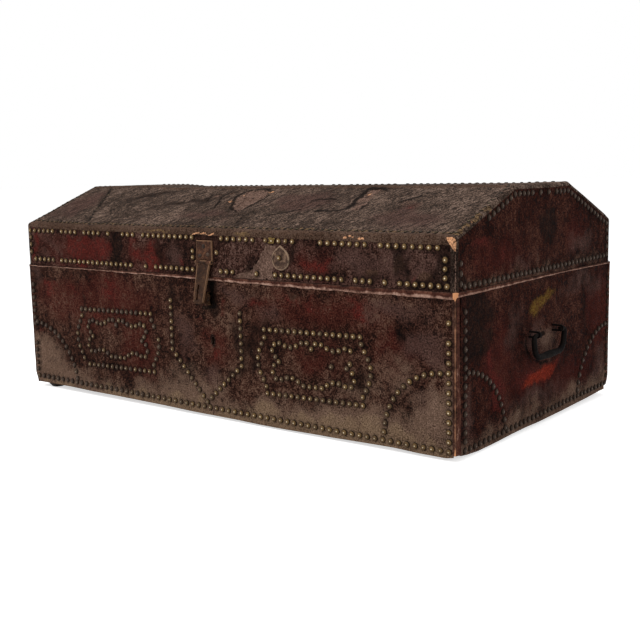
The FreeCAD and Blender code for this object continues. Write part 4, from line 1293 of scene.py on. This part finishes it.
def make_brass_scrap(brass):
    """A torn, curled end of brass caught under the nails above the pear-shaped plate."""
    bm = bmesh.new()
    count = 6
    rows = []
    for i in range(count + 1):
        row = []
        for j in range(count + 1):
            u, v = i / count - 0.5, j / count - 0.5
            ragged = 1 + 0.35 * lumps(u * 10, v * 10, 3, 8)
            curl = 2.6 + 4.0 * (u * u + v * v) + 0.8 * lumps(u * 9, v * 9, 3, 4)
            x, z = SCRAP_X + 13 * u * ragged + 2 * v, SCRAP_Z + 9 * v * ragged
            row.append(bm.verts.new(Vector((x, FRONT - curl, z)) * MM))
        rows.append(row)
    for a, b in zip(rows, rows[1:]):
        for k in range(count):
            bm.faces.new((a[k], b[k], b[k + 1], a[k + 1]))
    bmesh.ops.solidify(bm, geom=bm.faces[:], thickness=0.5 * MM)
    bmesh.ops.recalc_face_normals(bm, faces=bm.faces)
    dress(finished("brass_scrap", bm), brass, "lid", "old_brass")


def dress_cad(nodes, material, bevel=0.0):
    """Gives CAD nodes a material, and softens their edges."""
    for name in nodes:
        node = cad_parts[name]
        node.data.materials.clear()
        node.data.materials.append(material)
        if bevel:
            weld = node.modifiers.new("weld", "WELD")
            weld.merge_threshold = 0.02 * MM
            soft = node.modifiers.new("soft", "BEVEL")
            soft.width = bevel * MM
            soft.segments = 2
            soft.limit_method = "ANGLE"
            soft.angle_limit = math.radians(35)
            soft.harden_normals = False


# Materials


def colour(red, green, blue):
    """A linear colour from the 0 to 255 numbers of a screen colour."""
    def one(value):
        value /= 255
        return value / 12.92 if value <= 0.04045 else ((value + 0.055) / 1.055) ** 2.4
    return (one(red), one(green), one(blue), 1.0)


def feed(tree, socket, value):
    """Gives an input a value, or links it to another node's output."""
    if isinstance(value, bpy.types.NodeSocket):
        tree.links.new(value, socket)
    else:
        socket.default_value = value


def add_node(tree, kind, feeds=(), **settings):
    """A node with its settings made and its inputs fed, each by its name or number."""
    node = tree.nodes.new(kind)
    for key, value in settings.items():
        setattr(node, key, value)
    for key, value in dict(feeds).items():
        feed(tree, node.inputs[key], value)
    return node


class Look:
    """The node graph of one material."""

    def __init__(self, name, specular=0.3):
        self.material = bpy.data.materials.new(name)
        self.material.use_nodes = True
        self.tree = self.material.node_tree
        self.shader = self.tree.nodes["Principled BSDF"]
        self.shader.inputs["Specular IOR Level"].default_value = specular
        self.place = self.add("ShaderNodeTexCoord").outputs["Object"]

    def add(self, kind, feeds=(), **settings):
        return add_node(self.tree, kind, feeds, **settings)

    def stretch(self, x, y, z):
        feeds = {"Vector": self.place, "Scale": (x, y, z)}
        return self.add("ShaderNodeMapping", feeds).outputs["Vector"]

    def noise(self, scale, detail=4.0, rough=0.6, place=None, bend=0.0):
        return self.add("ShaderNodeTexNoise", {
            "Vector": place or self.place, "Scale": scale, "Detail": detail, "Roughness": rough,
            "Distortion": bend,
        }).outputs["Fac"]

    def cracks(self, scale, place):
        """Distance to the nearest edge between irregular cells."""
        feeds = {"Vector": place, "Scale": scale}
        cells = self.add("ShaderNodeTexVoronoi", feeds, feature="DISTANCE_TO_EDGE")
        return cells.outputs["Distance"]

    def creases(self, ragged):
        """Painted shade along short creases that run steeply up the front slope, leaning to the right.
        """
        turned = self.add("ShaderNodeMapping", {
            "Vector": self.blurred(0.02, 14.0), "Rotation": (0, 0, math.radians(66)),
            "Scale": (1 / 20, 1 / 110, 1 / 40),
        }, vector_type="TEXTURE")
        along = self.noise(1.0, 3.0, 0.5, turned.outputs["Vector"])
        line = self.between(self.off(along, 0.5), 0.0, 0.055, 1.0, 0.0)
        return self.sum("MULTIPLY", line, self.between(ragged, 0.34, 0.54))

    def blurred(self, reach, scale):
        """The place, pushed about by noise, so that cells come out uneven."""
        cloud = self.add("ShaderNodeTexNoise", {"Vector": self.place, "Scale": scale})
        push = self.add("ShaderNodeVectorMath", {0: cloud.outputs["Color"], "Scale": reach},
                        operation="SCALE")
        moved = self.add("ShaderNodeVectorMath", {0: self.place, 1: push.outputs["Vector"]},
                         operation="ADD")
        return moved.outputs["Vector"]

    def along(self, axis):
        return self.add("ShaderNodeSeparateXYZ", {"Vector": self.place}).outputs[axis]

    def sum(self, operation, a, b):
        return self.add("ShaderNodeMath", {0: a, 1: b}, operation=operation).outputs[0]

    def off(self, value, middle):
        """How far a value is from a middle one, either way."""
        return self.sum("ABSOLUTE", self.sum("SUBTRACT", value, middle), 0.0)

    def blend(self, *parts):
        """A weighted sum of noises that keeps 0.5 in the middle."""
        total = None
        for value, weight in parts:
            part = self.sum("MULTIPLY", value, weight)
            total = self.sum("ADD", total, part) if total else part
        spare = (sum(weight for _, weight in parts) - 1) / 2
        return self.sum("SUBTRACT", total, spare)

    def between(self, value, low, high, to_low=0.0, to_high=1.0, how="SMOOTHSTEP"):
        return self.add("ShaderNodeMapRange", {
            "Value": value, "From Min": low, "From Max": high, "To Min": to_low, "To Max": to_high,
        }, interpolation_type=how).outputs["Result"]

    def ramp(self, value, *stops):
        node = self.add("ShaderNodeValToRGB", {"Fac": value})
        points = node.color_ramp.elements
        while len(points) < len(stops):
            points.new(0.5)
        for point, (at, rgb) in zip(points, stops):
            point.position = at
            point.color = colour(*rgb)
        return node.outputs["Color"]

    def mix(self, amount, a, b, how="MIX"):
        a, b = (colour(*c) if isinstance(c, tuple) else c for c in (a, b))
        feeds = {"Factor": amount, 6: a, 7: b}
        return self.add("ShaderNodeMix", feeds, data_type="RGBA", blend_type=how).outputs[2]

    def cover(self, base, rgb, value, low, high, share=1.0):
        """The base with a colour laid over it where a value rises from low to high."""
        return self.mix(self.between(value, low, high, 0.0, share), base, rgb)

    def mark(self, name):
        return self.add("ShaderNodeAttribute", attribute_name=name).outputs["Fac"]

    def end(self, base, rough, bumps=(), metallic=0.0):
        """Feeds the shader; bumps are (height, depth in mm)."""
        feeds = {"Base Color": base, "Roughness": rough, "Metallic": metallic}
        for height, depth in bumps:
            bump = {"Strength": 1.0, "Distance": depth * MM, "Height": height}
            if "Normal" in feeds:
                bump["Normal"] = feeds["Normal"]
            feeds["Normal"] = self.add("ShaderNodeBump", bump).outputs["Normal"]
        for key, value in feeds.items():
            feed(self.tree, self.shader.inputs[key], value)
        return self.material


def leather_look(name, *tones, scuffs=0.3, grain=1.0, close=1.0, creases=0.0):
    """Old hide, mottled, crazed and scuffed, with its mesh's marks of wear and of painted shade; creases
    adds painted shade along the slope's creases; tones run from dark.
    """
    look = Look(name, specular=0.03)
    broad = look.noise(8.0, 3, 0.55, bend=0.4)
    mid = look.noise(34.0, 3, 0.5, bend=0.8)
    fine = look.noise(150.0 * close, 4, 0.65, bend=0.6)
    grit = look.noise(400.0 * close, 3, 0.65)
    runs = look.noise(1.0, 4, 0.6, look.stretch(90.0, 90.0, 12.0))
    tone = look.blend((broad, 0.7), (mid, 0.45), (fine, 0.85), (grit, 1.0), (runs, 0.3))
    base = look.ramp(tone, *zip(LEATHER_STOPS, tones))
    ragged = look.blend((mid, 0.8), (fine, 0.9))
    for mark, (fade, low, high, rgb, other, share) in WEAR.items():
        soft = fade > CRISP_LIMIT
        field = look.blend((look.mark(mark), 1.0), (ragged, 0.6 if soft else 1.2),
                           (grit, 0.4 if soft else 0.5), (runs, 0.25))
        patch = look.mix(look.between(fine, 0.36, 0.64), rgb, other)
        base = look.cover(base, patch, field, low, high, share)
    shade = look.ramp(look.blend((fine, 1.0), (grit, 1.5), (mid, 0.3)),
                      (0.24, (122, 114, 111)), (0.42, (204, 200, 198)), (0.6, (255, 255, 255)))
    base = look.mix(1.0, base, shade, "MULTIPLY")
    crack = look.between(look.cracks(130.0, look.blurred(0.004, 60.0)), 0.0, 0.07, 1.0, 0.0)
    crazed = look.sum("MULTIPLY", crack, look.between(ragged, 0.48, 0.72))
    base = look.mix(look.sum("MULTIPLY", crazed, 0.3), base, (14, 9, 8))
    # Painted shade along the slope's creases
    if creases:
        slope_only = look.between(look.mark("brown"), 0.3, 0.7, 1.0, 0.0)
        crease = look.sum("MULTIPLY", look.creases(ragged), slope_only)
        base = look.mix(look.sum("MULTIPLY", crease, creases), base, (22, 15, 12))
    scuff = look.blend((fine, 1.2), (broad, 0.8), (runs, 0.5))
    base = look.cover(base, (112, 88, 74), scuff, 0.66, 0.86, scuffs)
    flecks = look.blend((grit, 1.1), (mid, 0.35))
    base = look.cover(base, (148, 122, 104), flecks, 0.68, 0.78, scuffs * 1.6)
    # Grime and painted shade round the nails and tacks
    base = look.cover(base, (17, 11, 9), look.mark("grime"), 0.2, 0.9, 0.5)
    rough = look.between(fine, 0.3, 0.7, 0.6, 0.9)
    return look.end(base, rough, ((ragged, 1.2 * grain), (crazed, -0.35 * grain), (grit, 0.2)))


def edge_look():
    """Strips of raw-edged leather, their lips pale and their folds worn to the wood. On the rim the
    tones run from dark under the lid to the pale hem: partly the leather's own colours, partly painted
    shade under the lid and a painted highlight on the lip's bulge.
    """
    look = Look("edge_leather", specular=0.06)
    mid = look.noise(60.0, 6, 0.65, bend=0.5)
    fine = look.noise(320.0, 5, 0.7)
    tone = look.blend((mid, 1.0), (fine, 0.9))
    base = look.ramp(tone, (0.25, (26, 14, 11)), (0.45, (52, 33, 26)), (0.6, (74, 50, 41)),
                     (0.78, (106, 78, 66)))
    # On the rim: dark top, reddish band, pale hem; partly the leather's own colours, partly painted
    # shade under the lid and a painted highlight on the lip's bulge
    lip = look.blend((look.mark("lip"), 1.0), (mid, 0.4))
    band = look.ramp(tone, (0.3, (42, 20, 15)), (0.5, (68, 36, 27)), (0.7, (98, 62, 48)))
    base = look.cover(base, band, lip, 0.36, 0.5, 0.9)
    hem = look.ramp(tone, (0.3, (92, 64, 53)), (0.5, (134, 102, 88)), (0.7, (168, 136, 120)))
    base = look.cover(base, hem, lip, 0.56, 0.68, 0.95)
    line = look.blend((look.mark("pale"), 1.0), (mid, 0.5))
    base = look.cover(base, (150, 104, 78), line, 0.42, 0.8, 0.8)
    bare = look.blend((look.mark("wood"), 1.0), (mid, 0.6))
    base = look.cover(base, (196, 138, 98), bare, 0.4, 0.55)
    return look.end(base, 0.75, ((mid, 0.5), (fine, 0.25)))


def nail_look(name, bright, dim, body, dull, dark, roughness=0.36):
    """Domed nails: a painted highlight on top, tarnished down their sides, with painted shade and grime
    at the foot, no two the same.
    """
    look = Look(name, specular=0.25)
    fine = look.noise(700.0, 4, 0.65)
    age = look.mark("age")
    rim = look.sum("ADD", look.mark("rim"), look.sum("MULTIPLY", fine, 0.3))
    highlight_spot = look.sum("ADD", rim, look.sum("MULTIPLY", age, 0.16))
    side = look.cover(body, dull, age, 0.2, 0.9)
    # The painted highlight: bright on fresh nails, dimmer on tarnished ones
    highlight_colour = look.cover(bright, dim, age, 0.3, 1.0)
    base = look.cover(highlight_colour, side, highlight_spot, 0.22, 0.5)
    # Painted shade and grime at the dome's foot
    base = look.cover(base, dark, rim, 0.86, 1.14)
    rough = look.between(highlight_spot, 0.3, 1.1, roughness, 0.8)
    return look.end(base, rough, ((fine, 0.12),), metallic=0.5)


def iron_look(name, low, mid_tone, high, rough=0.55, metallic=0.6, specular=0.4):
    """Hammered metal, or dark wood where it isn't metallic, in three tones from dark to light."""
    look = Look(name, specular=specular)
    mid = look.noise(70.0, 6, 0.65)
    fine = look.noise(420.0, 6, 0.7)
    tone = look.sum("ADD", look.sum("MULTIPLY", mid, 0.6), look.sum("MULTIPLY", fine, 0.4))
    base = look.ramp(tone, (0.35, low), (0.5, mid_tone), (0.66, high))
    rough = look.between(fine, 0.35, 0.65, rough - 0.12, rough + 0.2)
    return look.end(base, rough, ((tone, 0.6), (fine, 0.2)), metallic)


def hasp_look(name, node, low_half, high_half, *tones):
    """Bronzed iron with a painted highlight along its borders, where bevelled edges catch the light; the
    half widths are at the piece's foot and top.
    """
    low, high = box_mm(node)
    look = Look(name, specular=0.1)
    mid = look.noise(90.0, 5, 0.65)
    fine = look.noise(420.0, 6, 0.7)
    tone = look.blend((mid, 0.9), (fine, 1.0))
    base = look.ramp(tone, *zip((0.28, 0.5, 0.72), tones))
    up = look.along("Z")
    half = look.between(up, low.z * MM, high.z * MM, low_half * MM, high_half * MM, "LINEAR")
    side = look.sum("SUBTRACT", half, look.off(look.along("X"), (low.x + high.x) / 2 * MM))
    ends = look.sum("MINIMUM", look.sum("SUBTRACT", high.z * MM, up),
                    look.sum("SUBTRACT", up, low.z * MM))
    ragged = look.sum("MULTIPLY", fine, 2.4 * MM)
    rim = look.sum("SUBTRACT", look.sum("MINIMUM", side, ends), ragged)
    # Painted highlight along the borders
    base = look.mix(look.between(rim, -0.8 * MM, 1.0 * MM, 0.6, 0.0), base, (138, 104, 78))
    rough = look.between(fine, 0.35, 0.65, 0.45, 0.75)
    return look.end(base, rough, ((tone, 0.5), (fine, 0.2)), 0.1)


def drop_look():
    """Dull brown brass, rubbed bright along its raised rim."""
    look = Look("old_brass_plate", specular=0.15)
    mid = look.noise(120.0, 5, 0.65)
    fine = look.noise(500.0, 5, 0.7)
    tone = look.blend((mid, 1.0), (fine, 0.8))
    base = look.ramp(tone, (0.3, (36, 24, 18)), (0.5, (70, 50, 39)), (0.7, (122, 97, 78)))
    edge = look.blend((look.mark("edge"), 1.0), (mid, 0.9), (fine, 0.5))
    base = look.cover(base, (150, 125, 102), edge, 0.75, 1.05, 0.65)
    rough = look.between(fine, 0.35, 0.65, 0.5, 0.75)
    return look.end(base, rough, ((mid, 0.7), (fine, 0.25)), 0.1)


def pine_look(name, across_axis, plank):
    """Bare old pine in planks, side by side along across_axis, with painted shade round the keyhole."""
    look = Look(name, specular=0.15)

    def grained(run, over, detail, rough, bend=0.0):
        """Noise drawn out along the grain."""
        scales = (run, over, over) if across_axis == "Y" else (over, run, over)
        return look.noise(1.0, detail, rough, look.stretch(*scales), bend)

    grain = grained(2.4, 60.0, 6, 0.65, 1.2)
    fibre = grained(10.0, 520.0, 5, 0.7)
    rings = grained(1.2, 16.0, 3, 0.5, 0.6)
    broad = look.noise(4.0, 4, 0.6)
    tone = look.blend((grain, 0.8), (fibre, 0.7), (rings, 0.5), (broad, 0.5))
    base = look.ramp(tone, (0.26, (52, 34, 21)), (0.44, (92, 64, 41)), (0.58, (122, 88, 58)),
                     (0.76, (150, 116, 82)))
    turns = look.sum("MULTIPLY", look.along(across_axis), 1 / (plank * MM))
    off = look.off(look.sum("FRACT", turns, 0.0), 0.5)
    joint = look.between(off, 0.9 / plank, 2.2 / plank, 0.85, 0.0)
    base = look.mix(joint, base, (24, 15, 10))
    stain = look.blend((broad, 1.2), (grain, 0.4))
    base = look.cover(base, (48, 33, 23), stain, 0.6, 0.82, 0.5)
    # Painted shade round the keyhole, so that its opening looks dark
    key = Vector((sum(KEYHOLE[:2]) / 2, FRONT + 6, sum(KEYHOLE[2:]) / 2)) * MM
    away = look.add("ShaderNodeVectorMath", {0: look.place, 1: key}, operation="DISTANCE")
    worn = look.between(away.outputs["Value"], 12 * MM, 22 * MM, 0.9, 0.0)
    base = look.mix(worn, base, (18, 12, 9))
    rough = look.between(fibre, 0.3, 0.7, 0.65, 0.85)
    return look.end(base, rough, ((grain, 0.35), (fibre, 0.25)))


# The studio, in metres, with the camera's lens in mm. Lights are (name, place, size, watts). The
# camera is the one fitted to the trunk's corners in the photograph.

FLOOR_HALF = 30.0
FLOOR_GREY = (0.8, 0.8, 0.8, 1)
FLOOR_GLOW = (0.62, 0.62, 0.62, 1)
WORLD_GREY = (0.5, 0.5, 0.5, 1)
WHITE = (1, 1, 1, 1)
LIGHTS = (
    ("key", (-1.2, -2.2, 2.4), 1.6, 62), ("top", (0.2, 0.3, 3.0), 2.4, 40),
    ("fill", (2.6, -0.6, 1.3), 1.6, 16),
)
LIGHT_AIM = Vector((0.05, 0.0, 0.2))
CAMERA_LENS = 56.39
CAMERA_SENSOR = 36.0
CAMERA_PLACE = (1.2306, -1.5190, 0.4289)
CAMERA_TURN = (1.4238, 0.0203, 0.6651)


def make_floor():
    """A grey floor that the camera sees as white."""
    bm = bmesh.new()
    corners = ((-1, -1), (1, -1), (1, 1), (-1, 1))
    bm.faces.new([bm.verts.new((x * FLOOR_HALF, y * FLOOR_HALF, 0)) for x, y in corners])
    floor = finished("floor", bm)
    look = Look("floor", specular=0.0)
    look.end(FLOOR_GREY, 1.0)
    ray = look.add("ShaderNodeLightPath").outputs["Is Camera Ray"]
    glow = look.add("ShaderNodeEmission", {"Strength": ray, "Color": FLOOR_GLOW})
    both = look.add("ShaderNodeAddShader", {0: look.shader.outputs[0], 1: glow.outputs[0]})
    feed(look.tree, look.tree.nodes["Material Output"].inputs["Surface"], both.outputs[0])
    floor.data.materials.append(look.material)


def make_world():
    """Grey light all round, behind a white ground."""
    world = bpy.data.worlds.new("studio")
    bpy.context.scene.world = world
    world.use_nodes = True
    tree = world.node_tree
    grey = tree.nodes["Background"]
    feed(tree, grey.inputs["Color"], WORLD_GREY)
    white = add_node(tree, "ShaderNodeBackground", {"Color": WHITE})
    ray = add_node(tree, "ShaderNodeLightPath").outputs["Is Camera Ray"]
    choose = add_node(tree, "ShaderNodeMixShader",
                      {"Fac": ray, 1: grey.outputs[0], 2: white.outputs[0]})
    feed(tree, tree.nodes["World Output"].inputs["Surface"], choose.outputs[0])


def add_light(name, place, size, power):
    lamp = bpy.data.lights.new(name, "AREA")
    lamp.shape = "DISK"
    lamp.size = size
    lamp.energy = power
    light = bpy.data.objects.new(name, lamp)
    light.location = place
    aim = LIGHT_AIM - Vector(place)
    light.rotation_euler = aim.to_track_quat("-Z", "Y").to_euler()
    bpy.context.scene.collection.objects.link(light)


def make_camera():
    lens = bpy.data.cameras.new("camera")
    lens.lens = CAMERA_LENS
    lens.sensor_width = CAMERA_SENSOR
    lens.dof.use_dof = False
    camera = bpy.data.objects.new("camera", lens)
    camera.location = CAMERA_PLACE
    camera.rotation_euler = CAMERA_TURN
    bpy.context.scene.collection.objects.link(camera)
    bpy.context.scene.camera = camera


# Assembly

body_hide = leather_look("body_hide", (18, 9, 7), (44, 24, 18), (66, 41, 32), (98, 74, 61))
# Darker and redder than the walls' hide: partly the ends' own leather, partly painted shade
end_hide = leather_look(
    "end_hide", (15, 5, 3), (37, 14, 9), (54, 25, 18), (80, 50, 39), scuffs=0.1
)
lid_walls = leather_look("lid_wall_hide", (18, 9, 7), (42, 24, 19), (64, 41, 34), (96, 73, 65))
# Lighter and greyer than the walls' hide: partly the roof's own worn leather, partly a painted sheen of
# the overhead light
lid_hide = leather_look(
    "lid_hide", (36, 28, 23), (67, 54, 46), (91, 74, 64), (123, 103, 91), scuffs=0.08, grain=1.3,
    close=1.15, creases=0.9,
)
edge_leather = edge_look()
# Each nail look's first colour is a painted highlight, and its last is painted shade with grime at the
# foot
bright_brass = nail_look(
    "brass", (250, 234, 200), (182, 164, 142), (106, 82, 50), (66, 52, 43), (27, 18, 12)
)
dull_brass = nail_look(
    "old_brass", (122, 106, 66), (84, 72, 50), (60, 50, 34), (40, 33, 25), (20, 15, 12), 0.6
)
iron = iron_look("iron", (34, 25, 21), (56, 42, 34), (92, 70, 54))
black_iron = iron_look("black_iron", (6, 4, 4), (13, 9, 8), (30, 23, 18), 0.7, 0.0, 0.08)
plate_bronze = hasp_look(
    "plate_bronze", "hasp_plate", 18.5, 18.5, (30, 17, 11), (62, 38, 27), (104, 70, 50)
)
tongue_bronze = hasp_look(
    "tongue_bronze", "hasp_tongue", 11.0, 14.75, (28, 16, 10), (52, 33, 22), (84, 58, 40)
)
drop_brass = drop_look()
scrap_brass = iron_look("torn_brass", (84, 66, 28), (142, 114, 54), (216, 188, 116), 0.4, 0.4)
glide_wood = iron_look("dark_wood", (20, 15, 13), (34, 26, 22), (58, 44, 36), 0.6, 0.0)
pine = pine_look("pine", "Y", plank=118.0)
end_pine = pine_look("end_pine", "Z", plank=168.0)

make_body_leather(body_hide, end_hide)
make_corner_strips(edge_leather)
make_rim(edge_leather)
make_lid_skin(lid_hide)
make_lid_walls(lid_walls, end_hide)
make_lid_edges(lid_hide)
make_studs(bright_brass, iron)
make_tacks(dull_brass)
make_handles(black_iron)
make_feet(glide_wood)
make_drop_plate(drop_brass, bright_brass)
make_brass_scrap(scrap_brass)

boards = [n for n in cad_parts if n.endswith("_board")]
dress_cad([n for n in boards if "_end_" in n], end_pine)
dress_cad([n for n in boards if "_end_" not in n], pine)
dress_cad(["hasp_plate"], plate_bronze, bevel=0.6)
dress_cad(["hasp_tongue"], tongue_bronze, bevel=0.5)
dress_cad(["hasp_pin"], iron, bevel=0.3)
dress_cad([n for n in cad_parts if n.endswith("_staple")], black_iron, bevel=0.6)
straps = [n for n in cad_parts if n.startswith("hinge_") and "nails" not in n]
dress_cad(straps, iron, bevel=0.4)
dress_cad([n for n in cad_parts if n.startswith("lock_")], iron)

make_floor()
make_world()
for light in LIGHTS:
    add_light(*light)
make_camera()
bpy.context.scene.view_settings.view_transform = "Standard"
